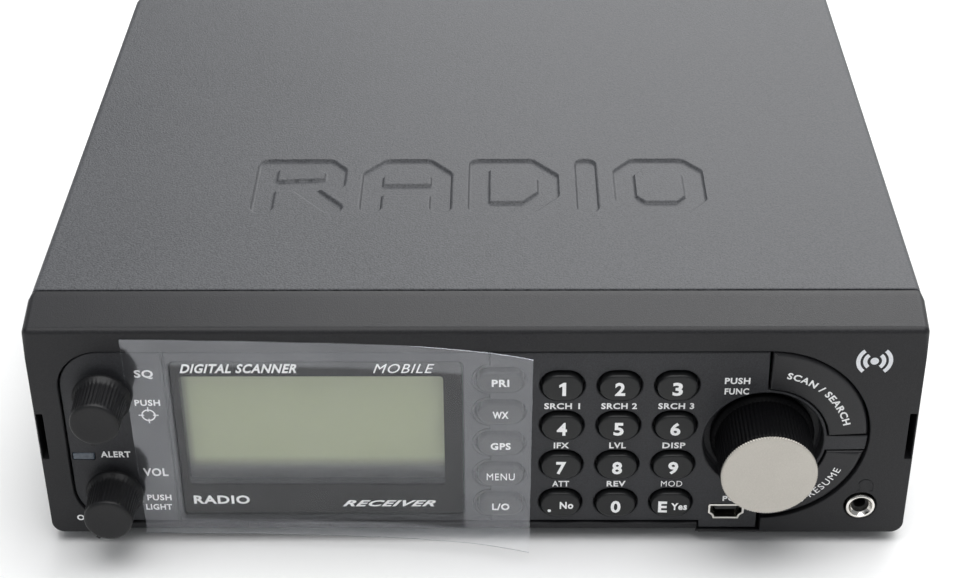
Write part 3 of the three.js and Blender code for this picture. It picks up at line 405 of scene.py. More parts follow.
class Skin:
    """Patches that meet edge to edge, welded into one closed mesh at the end."""

    def __init__(self):
        self.points, self.faces, self.count = [], [], 0

    def put(self, points, faces):
        """Adds a patch; its faces count from its own first point."""
        points = np.asarray(points, float).reshape(-1, 3)
        self.points.append(points)
        self.faces.extend((np.asarray(f) + self.count).tolist() for f in faces)
        self.count += len(points)

    def rings(self, rings, start_cap=False, end_cap=False):
        """Quads between rings of equal count, each ring closed on itself; caps are polygons."""
        rings = np.asarray(rings, float)
        many, around = rings.shape[:2]
        row, column = np.meshgrid(np.arange(many - 1), np.arange(around), indexing="ij")
        after = (column + 1) % around
        quads = np.stack([
            row * around + column, row * around + after,
            (row + 1) * around + after, (row + 1) * around + column], -1).reshape(-1, 4)
        faces = list(quads)
        if start_cap:
            faces.append(np.arange(around)[::-1])
        if end_cap:
            faces.append(np.arange(around) + (many - 1) * around)
        self.put(rings, faces)

    def walls(self, loops, levels, **caps):
        """Rings from x-z loops of equal count, each at its own y, or y per point."""
        self.rings([placed(loop, y) for loop, y in zip(loops, levels)], **caps)

    def sheet_between(self, loops, level):
        """The flat face at y = level inside the first loop and outside the others."""
        points = np.concatenate(loops)
        edges, start = [], 0
        for loop in loops:
            index = np.arange(len(loop)) + start
            edges += list(zip(index.tolist(), np.roll(index, -1).tolist()))
            start += len(loop)
        made = delaunay_2d_cdt([Vector(p) for p in points], edges, [], 0, 1e-5)
        flat = np.array([tuple(v) for v in made[0]])
        triangles = np.array([f for f in made[2] if len(f) == 3])
        middle = flat[triangles].mean(1)
        keep = inside(middle, loops[0])
        for hole in loops[1:]:
            keep &= ~inside(middle, hole)
        self.put(placed(flat, level), triangles[keep])

    def ends(self, front, face, rear, back, holes, steps=4):
        """The flat ends inside the loop front at y = face and the loop rear at y = back, with their
        holes. Each hole is a tuple of its outline, the rounding of its front edge, and its floor's
        y, or None where it goes through."""
        fronts, rears = [front], [rear]
        for outline, rim, floor in holes:
            profile = rounding(rim, steps)
            loops = [offset(outline, inset) for inset, _ in profile] + [outline]
            end = back if floor is None else floor
            self.walls(loops, [face + depth for _, depth in profile] + [end])
            fronts.append(loops[0])
            if floor is None:
                rears.append(outline)
            else:
                self.sheet_between([outline], floor)
        self.sheet_between(fronts, face)
        self.sheet_between(rears, back)

    def piece(self, name, body, material, replaces=(), crease=40, weighted=True):
        """The welded mesh as an object that rides on a body."""
        mesh = bpy.data.meshes.new(name)
        mesh.from_pydata(at(np.concatenate(self.points)).tolist(), [], self.faces)
        tool = bmesh.new()
        tool.from_mesh(mesh)
        bmesh.ops.remove_doubles(tool, verts=tool.verts, dist=1e-6)
        bmesh.ops.dissolve_degenerate(tool, edges=tool.edges, dist=1e-8)
        bmesh.ops.recalc_face_normals(tool, faces=tool.faces)
        tool.to_mesh(mesh)
        tool.free()
        mesh.polygons.foreach_set("use_smooth", np.ones(len(mesh.polygons), bool))
        mesh.set_sharp_from_angle(angle=math.radians(crease))
        mesh.materials.append(material)
        made = bpy.data.objects.new(name, mesh)
        bpy.context.scene.collection.objects.link(made)
        if weighted:
            modifier = made.modifiers.new("flat_faces_stay_flat", "WEIGHTED_NORMAL")
            modifier.keep_sharp = True
        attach(made, body)
        if replaces:
            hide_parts(*replaces)
        return made


HUB = 0.02              # turned pieces close at this radius, next to their axis


def rounding(radius, steps):
    """A quarter circle from a face to a wall, as (inset from the wall, depth below the face)."""
    turn = np.linspace(0, math.pi / 2, steps + 1)
    return list(zip(radius * (1 - np.sin(turn)), radius * (1 - np.cos(turn))))


def turned(skin, x, z, profile, around=96, ripple=None):
    """A profile of (radius, y) pairs turned about an axis along y; ripple adds to the radius."""
    angle = np.linspace(0, 2 * math.pi, around, endpoint=False)
    profile = np.asarray(profile, float)
    radius = np.repeat(profile[:, :1], around, 1)
    if ripple is not None:
        radius = radius + ripple(angle[None, :], profile[:, :1], profile[:, 1:])
    depth = np.repeat(profile[:, 1:], around, 1)
    rings = np.stack([x + radius * np.cos(angle), depth, z + radius * np.sin(angle)], -1)
    skin.rings(rings)


def plate(skin, outline, face, back, edge, holes=(), steps=4):
    """A plate from y = face to y = back with a rounded front edge and holes as in Skin.ends."""
    edge = np.broadcast_to(edge, len(outline))
    profile = rounding(1.0, steps)
    loops = [offset(outline, -edge * inset) for inset, _ in profile] + [outline]
    skin.walls(loops, [face + edge * depth for _, depth in profile] + [back])
    skin.ends(loops[0], face, outline, back, holes, steps)


# ---------------------------------------------------------------- lettering

def glyphs(text, slant, weight, spacing):
    """A word as a flat mesh about one unit high: its points (x, z) and faces, front side only."""
    curve = bpy.data.curves.new("word", "FONT")
    curve.body, curve.shear, curve.offset = text, slant, weight
    curve.space_character, curve.resolution_u = spacing, 3
    holder = bpy.data.objects.new("word", curve)
    bpy.context.scene.collection.objects.link(holder)
    finished = holder.evaluated_get(bpy.context.evaluated_depsgraph_get())
    mesh = bpy.data.meshes.new_from_object(finished)
    points = np.zeros(len(mesh.vertices) * 3)
    mesh.vertices.foreach_get("co", points)
    faces = [list(p.vertices) for p in mesh.polygons]
    bpy.data.objects.remove(holder)
    bpy.data.curves.remove(curve)
    bpy.data.meshes.remove(mesh)
    return points.reshape(-1, 3)[:, :2], faces


WEIGHT = 0.03           # how far letters are thickened, but not in words where an M would fill
PRINT_THICK, PRINT_SUNK = 0.03, 0.02    # how far print stands proud of its face and goes into it
FIGURE_ONE = [(0.2, 0), (0.44, 0), (0.44, 1), (0.28, 1), (0.0, 0.82), (0.0, 0.64), (0.2, 0.74)]


def print_word(skin, text, x, z, height, surface, width, slant=0.0, spacing=1.1, thick=PRINT_THICK,
               bend=None):
    """A word centred on (x, z), scaled to its height and width, on y = surface(x, z). bend maps
    flat points to where they lie; each letter is a thin closed slab."""
    if text == "1":
        flat, faces = np.array(FIGURE_ONE), [list(range(len(FIGURE_ONE)))]
    else:
        flat, faces = glyphs(text, slant, 0.0 if "M" in text else WEIGHT, spacing)
    low, high = flat.min(0), flat.max(0)
    flat = (flat - (low + high) / 2) * (width / (high[0] - low[0]), height / (high[1] - low[1]))
    flat = bend(flat) if bend else flat + (x, z)
    front = placed(flat, surface(flat[:, 0], flat[:, 1]) - thick)
    rear = front + (0, thick + PRINT_SUNK, 0)
    count = len(flat)
    rims = {}
    for face in faces:
        for a, b in zip(face, face[1:] + face[:1]):
            rims[(a, b)] = rims.get((a, b), 0) + 1
    edges = [(a, b) for a, b in rims if (b, a) not in rims]
    walls = [(a, b, b + count, a + count) for a, b in edges]
    backs = [[i + count for i in reversed(face)] for face in faces]
    skin.put(np.concatenate([front, rear]), faces + backs + walls)


def level(y):
    """A flat face at y, as a function of x and z."""
    return lambda x, z: np.full(np.shape(x), float(y))


def around_dial(radius, middle, way):
    """Bends a line of print round the dial, centred on the angle middle: clockwise with its top
    outwards where way is 1, anticlockwise with its top inwards where way is -1."""
    def bend(flat):
        """Flat x becomes an angle round the dial, flat z a distance from its axis."""
        angle = math.radians(middle) - way * flat[:, 0] / radius
        reach = radius + way * flat[:, 1]
        return np.stack([DIAL_X + reach * np.cos(angle), DIAL_Z + reach * np.sin(angle)], -1)
    return bend


# ---------------------------------------------------------------- places read from the frame

FLARE = 1.0             # the bezel is this much wider on each side at its back
KEY_FLANGE = 0.9        # a key's flange past its cap
TAB_DROP = 1.9          # the data port's tab below the panel
KEY_GAP = 0.5           # key cap to the edge of its hole
ARC_GAP = 0.3           # curved key to the panel
PANEL_CORNER = 9.0
SPLIT_GAP = 0.1         # half the line between two parts of the panel



def spot_of(node):
    """The middle of a node's box in x and z."""
    low, high = box_of(node)
    return (low[0] + high[0]) / 2, (low[2] + high[2]) / 2


bezel_high = box_of("front_bezel")[1]
panel_low, panel_high = box_of("control_panel")
FRONT_HALF = bezel_high[0] - FLARE
BEZEL_TOP, BEZEL_BACK = bezel_high[2], bezel_high[1]
PANEL_LEFT, PANEL_RIGHT, PANEL_TOP = panel_low[0], panel_high[0], panel_high[2]
PANEL_LOW, PANEL_FACE, PANEL_BACK = panel_low[2] + TAB_DROP, panel_low[1], panel_low[1] + 2.2
END_RADIUS = (PANEL_TOP - PANEL_LOW - TAB_DROP * 0.75) / 2
END_X, END_Z = PANEL_RIGHT - END_RADIUS, PANEL_TOP - END_RADIUS

cap_low, cap_high = box_of("dial_cap")
DIAL_X, DIAL_Z = spot_of("dial_cap")
DIAL_RADIUS = (cap_high[0] - cap_low[0]) / 2
DIAL_FACE = cap_low[1]
WELL_RADIUS, RIM_RADIUS = DIAL_RADIUS + 2.6, DIAL_RADIUS + 3.4
WELL_FLOOR = PANEL_FACE + 3.5
ARM_TOP, ARM_WIDTH = DIAL_Z + 1.5, 3.6

pane_low, pane_high = box_of("display_window")
LCD_LEFT, LCD_RIGHT = pane_low[0] + 1.6, pane_high[0] - 3.8
LCD_LOW, LCD_TOP = pane_low[2] + 7.9, pane_high[2] - 3.5
WINDOW_FACE = PANEL_FACE + 0.12

port_low, port_high = box_of("data_port")
PORT_X, PORT_Z = spot_of("data_port")
TAB_LEFT, TAB_RIGHT = PORT_X - 5.8, PORT_X + 7.1
JACK_X, JACK_Z = spot_of("headphone_jack")

KNOB_X, SQUELCH_Z = spot_of("squelch_rotor")
VOLUME_Z = spot_of("volume_rotor")[1]
LIGHT_Z = spot_of("alert_light")[1]
LEFT_SPLIT = PANEL_LEFT + 21.6

NUMBER_KEYS = ["key_1", "key_2", "key_3", "key_4", "key_5", "key_6", "key_7", "key_8", "key_9",
               "key_point", "key_0", "key_enter"]
SOFT_KEYS = ["key_priority", "key_weather", "key_location", "key_menu", "key_lockout"]


def cap_of(key):
    """A push key's cap: its middle (x, z), its width and height, and its face's y."""
    low, high = box_of(key)
    width, height = (high[axis] - low[axis] - 2 * KEY_FLANGE for axis in (0, 2))
    return *spot_of(key), width, height, low[1]


def oval(x, z, width, height, steps=8):
    """A rectangle with half-round ends."""
    return rounded_box(x - width / 2, x + width / 2, z - height / 2, z + height / 2, height / 2, steps)


def key_hole(key):
    """The outline of a key's hole in the panel."""
    x, z, width, height, _ = cap_of(key)
    return oval(x, z, width + 2 * KEY_GAP, height + 2 * KEY_GAP)


RIGHT_SPLIT = cap_of("key_menu")[0] - (cap_of("key_menu")[2] - cap_of("key_menu")[3]) / 2

# ---------------------------------------------------------------- finishes

PAINT = grained("case_paint", (0.020, 0.021, 0.024), (0.071, 0.073, 0.079), (0.46, 0.58), 0.42, 0.07,
                cloud=60.0, cloud_share=0.15, specular=0.45)
BEZEL = grained("bezel_plastic", (0.007, 0.007, 0.008), (0.016, 0.016, 0.018), (0.42, 0.52), 0.32, 0.03,
                specular=0.3)
PANEL = grained("panel_plastic", (0.014, 0.014, 0.016), (0.034, 0.035, 0.039), (0.45, 0.6), 0.3, 0.04,
                specular=0.35)
RUBBER = grained("key_rubber", (0.004, 0.0045, 0.005), (0.009, 0.0095, 0.01), (0.36, 0.46), 0.25, 0.01,
                 specular=0.35)
KEY_PLASTIC = grained("key_plastic", (0.006, 0.006, 0.007), (0.014, 0.014, 0.016), (0.36, 0.46), 0.3, 0.02,
                      specular=0.38)
KNOB = grained("knob_plastic", (0.004, 0.004, 0.0045), (0.009, 0.009, 0.010), (0.40, 0.50), 0.4, 0.01,
               specular=0.3)
DIAL_BLACK = grained("dial_plastic", (0.0015, 0.0015, 0.002), (0.003, 0.003, 0.0035), (0.44, 0.54), 0.4,
                     0.01, specular=0.1)
SILVER = grained("dial_silver", (0.44, 0.415, 0.375), (0.52, 0.495, 0.45), (0.45, 0.55), 0.2, 0.01,
                 metallic=0.6, cloud=8.0)
BORDER = grained("window_border", (0.006, 0.006, 0.0065), (0.009, 0.009, 0.0095), (0.2, 0.26), 2.0, 0.0,
                 specular=0.35)
PRINT = grained("legend_print", (0.80, 0.80, 0.80), (0.92, 0.92, 0.92), (0.5, 0.6), 0.3, 0.01)
PRINT_GREY = grained("mark_print", (0.66, 0.67, 0.70), (0.78, 0.79, 0.82), (0.5, 0.6), 0.3, 0.01)
NICKEL = grained("connector_nickel", (0.70, 0.68, 0.63), (0.82, 0.80, 0.76), (0.14, 0.24), 1.5, 0.01,
                 metallic=1.0)
BLACK = grained("connector_black", (0.008, 0.008, 0.008), (0.015, 0.015, 0.015), (0.4, 0.55), 0.4, 0.01)
STEEL = grained("shaft_steel", (0.42, 0.42, 0.43), (0.56, 0.56, 0.57), (0.25, 0.35), 0.6, 0.01,
                metallic=1.0)
SCREW = grained("screw_black", (0.02, 0.02, 0.021), (0.045, 0.045, 0.046), (0.3, 0.42), 0.5, 0.01,
                metallic=0.8)
BOARD = grained("board_green", (0.010, 0.075, 0.030), (0.018, 0.115, 0.05), (0.3, 0.42), 1.2, 0.01,
                cloud_share=0.5)
RIBBON = grained("ribbon_amber", (0.36, 0.18, 0.045), (0.5, 0.28, 0.08), (0.28, 0.36), 1.0, 0.0,
                 cloud_share=0.5)
FOOT = grained("foot_rubber", (0.008, 0.008, 0.008), (0.016, 0.016, 0.016), (0.75, 0.9), 0.5, 0.04)
LIGHT_PIPE = grained("light_pipe", (0.035, 0.05, 0.07), (0.06, 0.08, 0.105), (0.18, 0.25), 1.0, 0.0,
                     coat=0.3)
# the display cell's olive grey, with painted shade along its lower edge and left end
LCD = display_glass_with_painted_shade()
FILM = mirror_film("clear_film", 0.075, 0.4, (at(pane_low - 0.3), at(pane_high + 0.3)))
CLEAR = mirror_film("window_clear", 0.03, 0.0)

# ---------------------------------------------------------------- front bezel


def smooth(value, low, high):
    """0 below low, 1 above high, with a soft start and end between."""
    share = np.clip((np.asarray(value, float) - low) / (high - low), 0, 1)
    return share * share * (3 - 2 * share)


def panel_outline(grow):
    """The whole panel's edge, moved out by grow: two round left corners, a round right end, and a
    tab below the data port."""
    left, low, corner, end = PANEL_LEFT - grow, PANEL_LOW - grow, PANEL_CORNER + grow, END_RADIUS + grow
    tab_low = low - TAB_DROP
    tab_right = TAB_RIGHT + grow
    down = math.degrees(math.acos(min(1.0, (tab_right - END_X) / end)))
    return closed(
        arc(left + corner, low + corner, corner, 180, 270, 16),
        [(TAB_LEFT - grow, low), (TAB_LEFT - grow, tab_low), (tab_right, tab_low)],
        arc(END_X, END_Z, end, -down, 90, 48),
        arc(left + corner, PANEL_TOP + grow - corner, corner, 90, 180, 16))


def headphone_sign(x, z, size):
    """A headband over two ear pads, as one outline about (x, z)."""
    band = 0.18 * size
    return closed(
        [(x - size, z - size), (x - size + 2.2 * band, z - size), (x - size + 2.2 * band, z - 0.1 * size),
         (x - size + band, z - 0.1 * size)],
        arc(x, z, size - band, 175, 5, 16),
        [(x + size - band, z - 0.1 * size), (x + size - 2.2 * band, z - 0.1 * size),
         (x + size - 2.2 * band, z - size), (x + size, z - size)],
        arc(x, z, size, 0, 180, 20))


def make_bezel():
    """A tray-shaped moulding: rings of one outline run round its front edge, back along its sides
    to the seam, over its rim and forward along the inside of its wall to the back of its face."""
    wall, floor_wall, r, top_r = 2.4, 0.4, 2.6, 1.5
    lip_left, lip_right, lip_rise, lip_depth = PANEL_LEFT + PANEL_CORNER, TAB_LEFT - 0.3, 2.1, 1.25
    low_edge = [(lip_left - 0.4, 0), (lip_left, 0), (lip_right, 0), (lip_right + 0.4, 0)]
    outline = closed(
        arc(-FRONT_HALF + r, r, r, 180, 270, 8), low_edge, arc(FRONT_HALF - r, r, r, 270, 360, 8),
        [(FRONT_HALF, 16), (FRONT_HALF, 36), (FRONT_HALF, 46)],
        arc(FRONT_HALF - top_r, BEZEL_TOP - top_r, top_r, 0, 90, 6),
        arc(-FRONT_HALF + top_r, BEZEL_TOP - top_r, top_r, 90, 180, 6),
        [(-FRONT_HALF, 46), (-FRONT_HALF, 36), (-FRONT_HALF, 16)])
    on_lip = (outline[:, 1] < 1e-6) & (outline[:, 0] > lip_left - 0.1) & (outline[:, 0] < lip_right + 0.1)
    edge = 0.25 + smooth(outline[:, 1], 46, 51)

    def ring(inset, depth):
        """The outline at a depth: drawn in by inset, widened by the flare, raised along the lip."""
        loop = offset(outline, -inset)
        widen = FLARE * np.clip(depth / 12, 0, 1) - 0.2 * np.clip((depth - 12) / 2.4, 0, 1)
        loop[:, 0] *= 1 + widen / FRONT_HALF
        loop[:, 1] += on_lip * lip_rise * (depth <= lip_depth)
        return loop

    skin = Skin()
    loops, levels = [], []
    for inset, depth in rounding(1.0, 6):
        loops.append(ring(edge * inset, edge * depth))
        levels.append(edge * depth)
    inner = floor_wall + (wall - floor_wall) * smooth(outline[:, 1], 0, 4)
    for inset, depths in ((0.0, (lip_depth, lip_depth + 0.05, 3.0, 7.0, 12.0, BEZEL_BACK - 0.25)),
                          (0.2, (BEZEL_BACK,)), (inner, (BEZEL_BACK, wall))):
        for depth in depths:
            loops.append(ring(inset, depth))
            levels.append(depth)
    skin.walls(loops, levels)

    slot_middle, slot_half = BEZEL_TOP / 2 - 0.6, 5.9
    holes = [(panel_outline(0.3), 0.3, None), (circle(JACK_X, JACK_Z, 3.45, 48), 0.35, None),
             (headphone_sign(JACK_X + 0.6, JACK_Z + 5.6, 1.7), 0.03, 0.12)]
    for side in (-1, 1):
        slot_left, slot_right = sorted((side * (FRONT_HALF - 1.75), side * (FRONT_HALF - 0.33)))
        slot = rounded_box(slot_left, slot_right, slot_middle - slot_half, slot_middle + slot_half, 0.2, 3)
        holes.append((slot, 0.06, 9.0))
    skin.ends(loops[0], 0.0, loops[-1], wall, holes)
    skin.piece("bezel_shell", "root", BEZEL, ["front_bezel"])


# ---------------------------------------------------------------- control panel

def port_outline():
    """The data port's shell: its sides step in towards a narrower lower edge."""
    half, top, low = port_high[0] - PORT_X, port_high[2], port_low[2]
    return closed(
        [(PORT_X - half + 1.1, low), (PORT_X + half - 1.1, low), (PORT_X + half - 0.8, low + 0.9),
         (PORT_X + half, low + 1.5)],
        arc(PORT_X + half - 0.5, top - 0.5, 0.5, 0, 90, 5),
        arc(PORT_X - half + 0.5, top - 0.5, 0.5, 90, 180, 5),
        [(PORT_X - half, low + 1.5), (PORT_X - half + 0.8, low + 0.9)])


def rise(z, radius, height):
    """The angle in degrees at which a circle centred at z passes that height, on its right."""
    return math.degrees(math.asin((height - z) / radius))


def soft_bumps(radius, side):
    """The line between the display's part and the keypad's part runs down at RIGHT_SPLIT + side;
    these are its arcs round the left half of each soft key's hole."""
    start = math.degrees(math.acos(side / radius))
    return [arc(RIGHT_SPLIT, cap_of(key)[1], radius, start, 360 - start, 18) for key in SOFT_KEYS]


def make_panel():
    """Plates that meet along fine lines: the knobs' part, the display's part and the keypad's
    part; the arm between the curved keys; and the ring and cup of the dial's well."""
    skin = Skin()
    top, low, corner = PANEL_TOP, PANEL_LOW, PANEL_CORNER
    face, back = PANEL_FACE, PANEL_BACK
    knob_part = closed(
        arc(PANEL_LEFT + corner, low + corner, corner, 180, 270, 16),
        [(LEFT_SPLIT - SPLIT_GAP, low), (LEFT_SPLIT - SPLIT_GAP, top)],
        arc(PANEL_LEFT + corner, top - corner, corner, 90, 180, 16))
    light = rounded_box(PANEL_LEFT + 0.42, PANEL_LEFT + 5.3, LIGHT_Z - 1.0, LIGHT_Z + 1.0, 0.4, 5)
    shaft_hole = 4.2

    def edge_of(outline):
        """A broad rounding along the panel's top, none where a plate meets the dial's ring."""
        from_dial = np.hypot(outline[:, 0] - DIAL_X, outline[:, 1] - DIAL_Z)
        edge = np.where(outline[:, 1] > top - 0.01, 0.6, 0.3)
        return np.where(from_dial < RIM_RADIUS - 0.29, 0.02, edge)

    plate(skin, knob_part, face, back, edge_of(knob_part), [
        (circle(KNOB_X, SQUELCH_Z, shaft_hole), 0.15, None),
        (circle(KNOB_X, VOLUME_Z, shaft_hole), 0.15, None), (light, 0.1, None)])

    bump = cap_of("key_menu")[3] / 2 + KEY_GAP + 0.62
    display_part = closed(
        [(LEFT_SPLIT + SPLIT_GAP, low), (RIGHT_SPLIT - SPLIT_GAP, low)],
        *[a[::-1] for a in reversed(soft_bumps(bump + SPLIT_GAP, -SPLIT_GAP))],
        [(RIGHT_SPLIT - SPLIT_GAP, top), (LEFT_SPLIT + SPLIT_GAP, top)])
    room = 0.25
    window = rounded_box(pane_low[0] - room, pane_high[0] + room, pane_low[2] - room,
                         pane_high[2] + room, 1.1)
    plate(skin, display_part, face, back, edge_of(display_part), [(window, 0.3, None)])

    reach_in = RIM_RADIUS - 0.3
    keypad_part = closed(
        *soft_bumps(bump - SPLIT_GAP, SPLIT_GAP),
        [(RIGHT_SPLIT + SPLIT_GAP, low), (TAB_LEFT, low), (TAB_LEFT, low - TAB_DROP),
         (DIAL_X, low - TAB_DROP)],
        arc(DIAL_X, DIAL_Z, reach_in, 270, 90, 64),
        [(DIAL_X, top), (RIGHT_SPLIT + SPLIT_GAP, top)])
    port = offset(port_outline(), 0.15)
    holes = [(key_hole(key), 0.35, None) for key in NUMBER_KEYS + SOFT_KEYS] + [(port, 0.1, None)]
    plate(skin, keypad_part, face, back, edge_of(keypad_part), holes)

    arm_low = ARM_TOP - ARM_WIDTH
    arm = closed(
        arc(END_X, END_Z, END_RADIUS,
            rise(END_Z, END_RADIUS, arm_low), rise(END_Z, END_RADIUS, ARM_TOP), 6),
        arc(DIAL_X, DIAL_Z, reach_in, rise(DIAL_Z, reach_in, ARM_TOP), rise(DIAL_Z, reach_in, arm_low), 6))
    plate(skin, arm, face, back, edge_of(arm))

    rim, wall, floor = RIM_RADIUS, WELL_RADIUS, WELL_FLOOR
    turned(skin, DIAL_X, DIAL_Z, [
        (rim, 3.2), (rim, face + 0.25), (rim - 0.08, face + 0.08), (rim - 0.25, face - 0.02),
        (wall + 0.35, face - 0.02), (wall + 0.12, face + 0.12), (wall, face + 0.4), (wall, floor - 0.4),
        (wall - 0.4, floor), (4.0, floor), (4.0, floor + 1.2), (rim - 0.8, floor + 1.2), (rim, floor + 0.5),
        (rim, 3.2)], 128)
    skin.piece("panel_face", "root", PANEL, ["control_panel"], crease=35)


def make_display():
    """The window's dark border, the display behind it and a clear pane in the opening."""
    opening = rounded_box(LCD_LEFT, LCD_RIGHT, LCD_LOW, LCD_TOP, 0.8, 5)
    outline = rounded_box(pane_low[0], pane_high[0], pane_low[2], pane_high[2], 0.8, 6)
    skin = Skin()
    plate(skin, outline, WINDOW_FACE, 3.2, 0.15, [(opening, 0.04, None)], steps=3)
    skin.piece("window_frame", "root", BORDER, ["display_window"])
    skin = Skin()
    plate(skin, offset(opening, 1.0), 3.3, 6.9, 0.1, steps=2)
    skin.piece("display_cell", "root", LCD, ["display_module"])
    skin = Skin()
    pane_face, pane_back = PANEL_FACE + 0.3, PANEL_FACE + 0.5
    plate(skin, offset(opening, -0.02), pane_face, pane_back, 0.02, steps=1)
    skin.piece("window_pane", "root", CLEAR)


def make_light():
    """The alert light's lens, a small plate that stands a little proud of the panel."""
    skin = Skin()
    outline = rounded_box(PANEL_LEFT + 0.5, PANEL_LEFT + 5.2, LIGHT_Z - 0.9, LIGHT_Z + 0.9, 0.35, 5)
    plate(skin, outline, PANEL_FACE - 0.1, PANEL_BACK + 1, 0.3)
    skin.piece("alert_lens", "root", LIGHT_PIPE, ["alert_light"])


# ---------------------------------------------------------------- keys

KEY_CORNER, KEY_CROWN = 0.75, 0.14      # the rounding of a push key's cap and the rise of its dome


def stem_profile(start):
    """A round stem from y = start back to the board, closed along its axis."""
    radius, end, hub = 1.5, 7.9, 0.01
    return [(hub, start), (radius, start), (radius, end), (hub, end), (hub, start)]


def crown(x, z, key):
    """The y of a key's domed face: highest in the middle, falling as the square of the distance."""
    middle_x, middle_z, width, height, face = cap_of(key)
    fall = ((x - middle_x) / (width / 2)) ** 2 + ((z - middle_z) / (height / 2)) ** 2
    return face + KEY_CROWN * np.clip(fall, 0, 1.3)


def make_push_key(key, legends):
    """Rings of the cap's outline drawn in over its rounded edge and its dome, and out over the
    flange behind the panel; a stem runs back to the board."""
    x, z, width, height, face = cap_of(key)
    outline = oval(x, z, width, height)
    skin = Skin()
    deepest = height / 2 - 0.15
    inner = [deepest - share * (deepest - KEY_CORNER) for share in np.linspace(0, 1, 6)[:-1]]
    loops = [offset(outline, -inset) for inset in inner]
    levels = [crown(loop[:, 0], loop[:, 1], key) for loop in loops]
    for inset, depth in rounding(KEY_CORNER, 5):
        loop = offset(outline, -inset)
        loops.append(loop)
        levels.append(crown(loop[:, 0], loop[:, 1], key) * (1 - depth / KEY_CORNER)
                      + (face + KEY_CROWN + depth) * (depth / KEY_CORNER))
    seat = PANEL_BACK + 0.3
    flange = offset(outline, KEY_FLANGE)
    loops += [outline, flange, flange]
    levels += [seat, seat, seat + 0.8]
    skin.walls(loops, levels, start_cap=True, end_cap=True)
    turned(skin, x, z, stem_profile(seat + 0.7), 20)
    skin.piece(key + "_cap", key, RUBBER, [key], weighted=False)
    skin = Skin()
    for text, dx, dz, size, wide in legends:
        print_word(skin, text, x + dx, z + dz, size, lambda a, b: crown(a, b, key), wide, thick=0.07)
    skin.piece(key + "_legend", key, PRINT, weighted=False)


NUMBER_LEGENDS = {
    "key_point": [(".", -2.35, -1.45, 0.75, 0.75), ("No", 1.3, 0.05, 1.9, 2.9)],
    "key_0": [("0", 0, -0.35, 3.3, 2.1)],
    "key_enter": [("E", -1.75, -0.4, 3.0, 1.9), ("Yes", 1.75, -0.3, 1.9, 3.4)],
}
SOFT_LEGENDS = {
    "key_priority": ("PRI", 3.6), "key_weather": ("WX", 3.3), "key_location": ("GPS", 4.2),
    "key_menu": ("MENU", 5.9), "key_lockout": ("L/O", 3.7)}


def make_push_keys():
    """The number keys, each with its own digit where the table gives no other legend, and the soft
    keys."""
    for key in NUMBER_KEYS:
        digit = key[-1]
        wide = 1.4 if digit == "1" else 2.1
        make_push_key(key, NUMBER_LEGENDS.get(key, [(digit, 0, -0.1, 3.3, wide)]))
    for key in SOFT_KEYS:
        text, wide = SOFT_LEGENDS[key]
        make_push_key(key, [(text, 0, 0.0, 1.8, wide)])


def make_curved_keys():
    """Plates between the well's rim and the panel's round end, above and below the arm, with a
    broad rounding along their outer edge."""
    inner = RIM_RADIUS + ARC_GAP
    split = DIAL_X + ARC_GAP + 0.2
    face = PANEL_FACE - 0.3
    stem, word_radius = 14.5, 17.6
    for key, arm_side, sign, text, middle in (
            ("key_scan", ARM_TOP + ARC_GAP, 1, "SCAN / SEARCH", 46.5),
            ("key_hold", ARM_TOP - ARM_WIDTH - ARC_GAP, -1, "HOLD / RESUME", -54.5)):
        end = sign * math.degrees(math.acos((split - DIAL_X) / inner))
        far_end = sign * math.degrees(math.acos((split - END_X) / END_RADIUS))
        outline = closed(
            arc(DIAL_X, DIAL_Z, inner, end, rise(DIAL_Z, inner, arm_side), 40),
            arc(END_X, END_Z, END_RADIUS, rise(END_Z, END_RADIUS, arm_side), far_end, 48))
        if sign < 0:
            outline = outline[::-1]
        out = np.linalg.norm(outline - (END_X, END_Z), axis=1)
        edge = np.where(out > END_RADIUS - 0.01, 1.1, 0.3)
        skin = Skin()
        plate(skin, outline, face, face + 2.6, edge, steps=6)
        turned(skin, DIAL_X + stem, DIAL_Z + sign * stem, stem_profile(2.6), 20)
        skin.piece(key + "_cap", key, KEY_PLASTIC, [key])
        skin = Skin()
        print_word(skin, text, 0, 0, 1.6, level(face), 19.2, spacing=1.15,
                   bend=around_dial(word_radius, middle, sign))
        skin.piece(key + "_legend", key, PRINT, weighted=False)


# ---------------------------------------------------------------- printing on the front

PANEL_WORDS = [
    ("PUSH", 53.7, 39.9, 1.6, 5.2), ("FUNC", 53.7, 37.25, 1.6, 5.0), ("PC", 53.8, 8.95, 1.4, 2.6),
    ("SQ", -67.8, 41.6, 2.3, 3.9), ("PUSH", -67.75, 34.4, 1.6, 5.3), ("ALERT", -75.8, 20.9, 1.6, 6.3),
    ("VOL", -67.8, 16.1, 2.15, 5.3), ("PUSH", -67.7, 9.2, 1.6, 5.2), ("LIGHT", -68.0, 6.6, 1.6, 5.6)]
KEY_WORDS = {
    "key_1": ("SRCH 1", 7.4), "key_2": ("SRCH 2", 7.4), "key_3": ("SRCH 3", 7.4), "key_4": ("IFX", 3.2),
    "key_5": ("LVL", 3.5), "key_6": ("DISP", 4.8), "key_7": ("ATT", 3.6), "key_8": ("REV", 4.0),
    "key_9": ("MOD", 4.5)}
WINDOW_WORDS = [
    ("DIGITAL SCANNER", -48.4, 43.0, 2.3, 24.0, 0.35), ("MOBILE", -14.5, 43.0, 2.3, 12.6, 0.35),
    ("RADIO", -54.4, 8.5, 2.3, 12.0, 0.0), ("RECEIVER", -18.6, 7.5, 1.7, 20.0, 0.45)]


def slab(skin, loop, face):
    """A thin closed print with that outline."""
    front = placed(loop, face - PRINT_THICK)
    skin.rings([front, front + (0, PRINT_THICK + PRINT_SUNK, 0)], start_cap=True, end_cap=True)


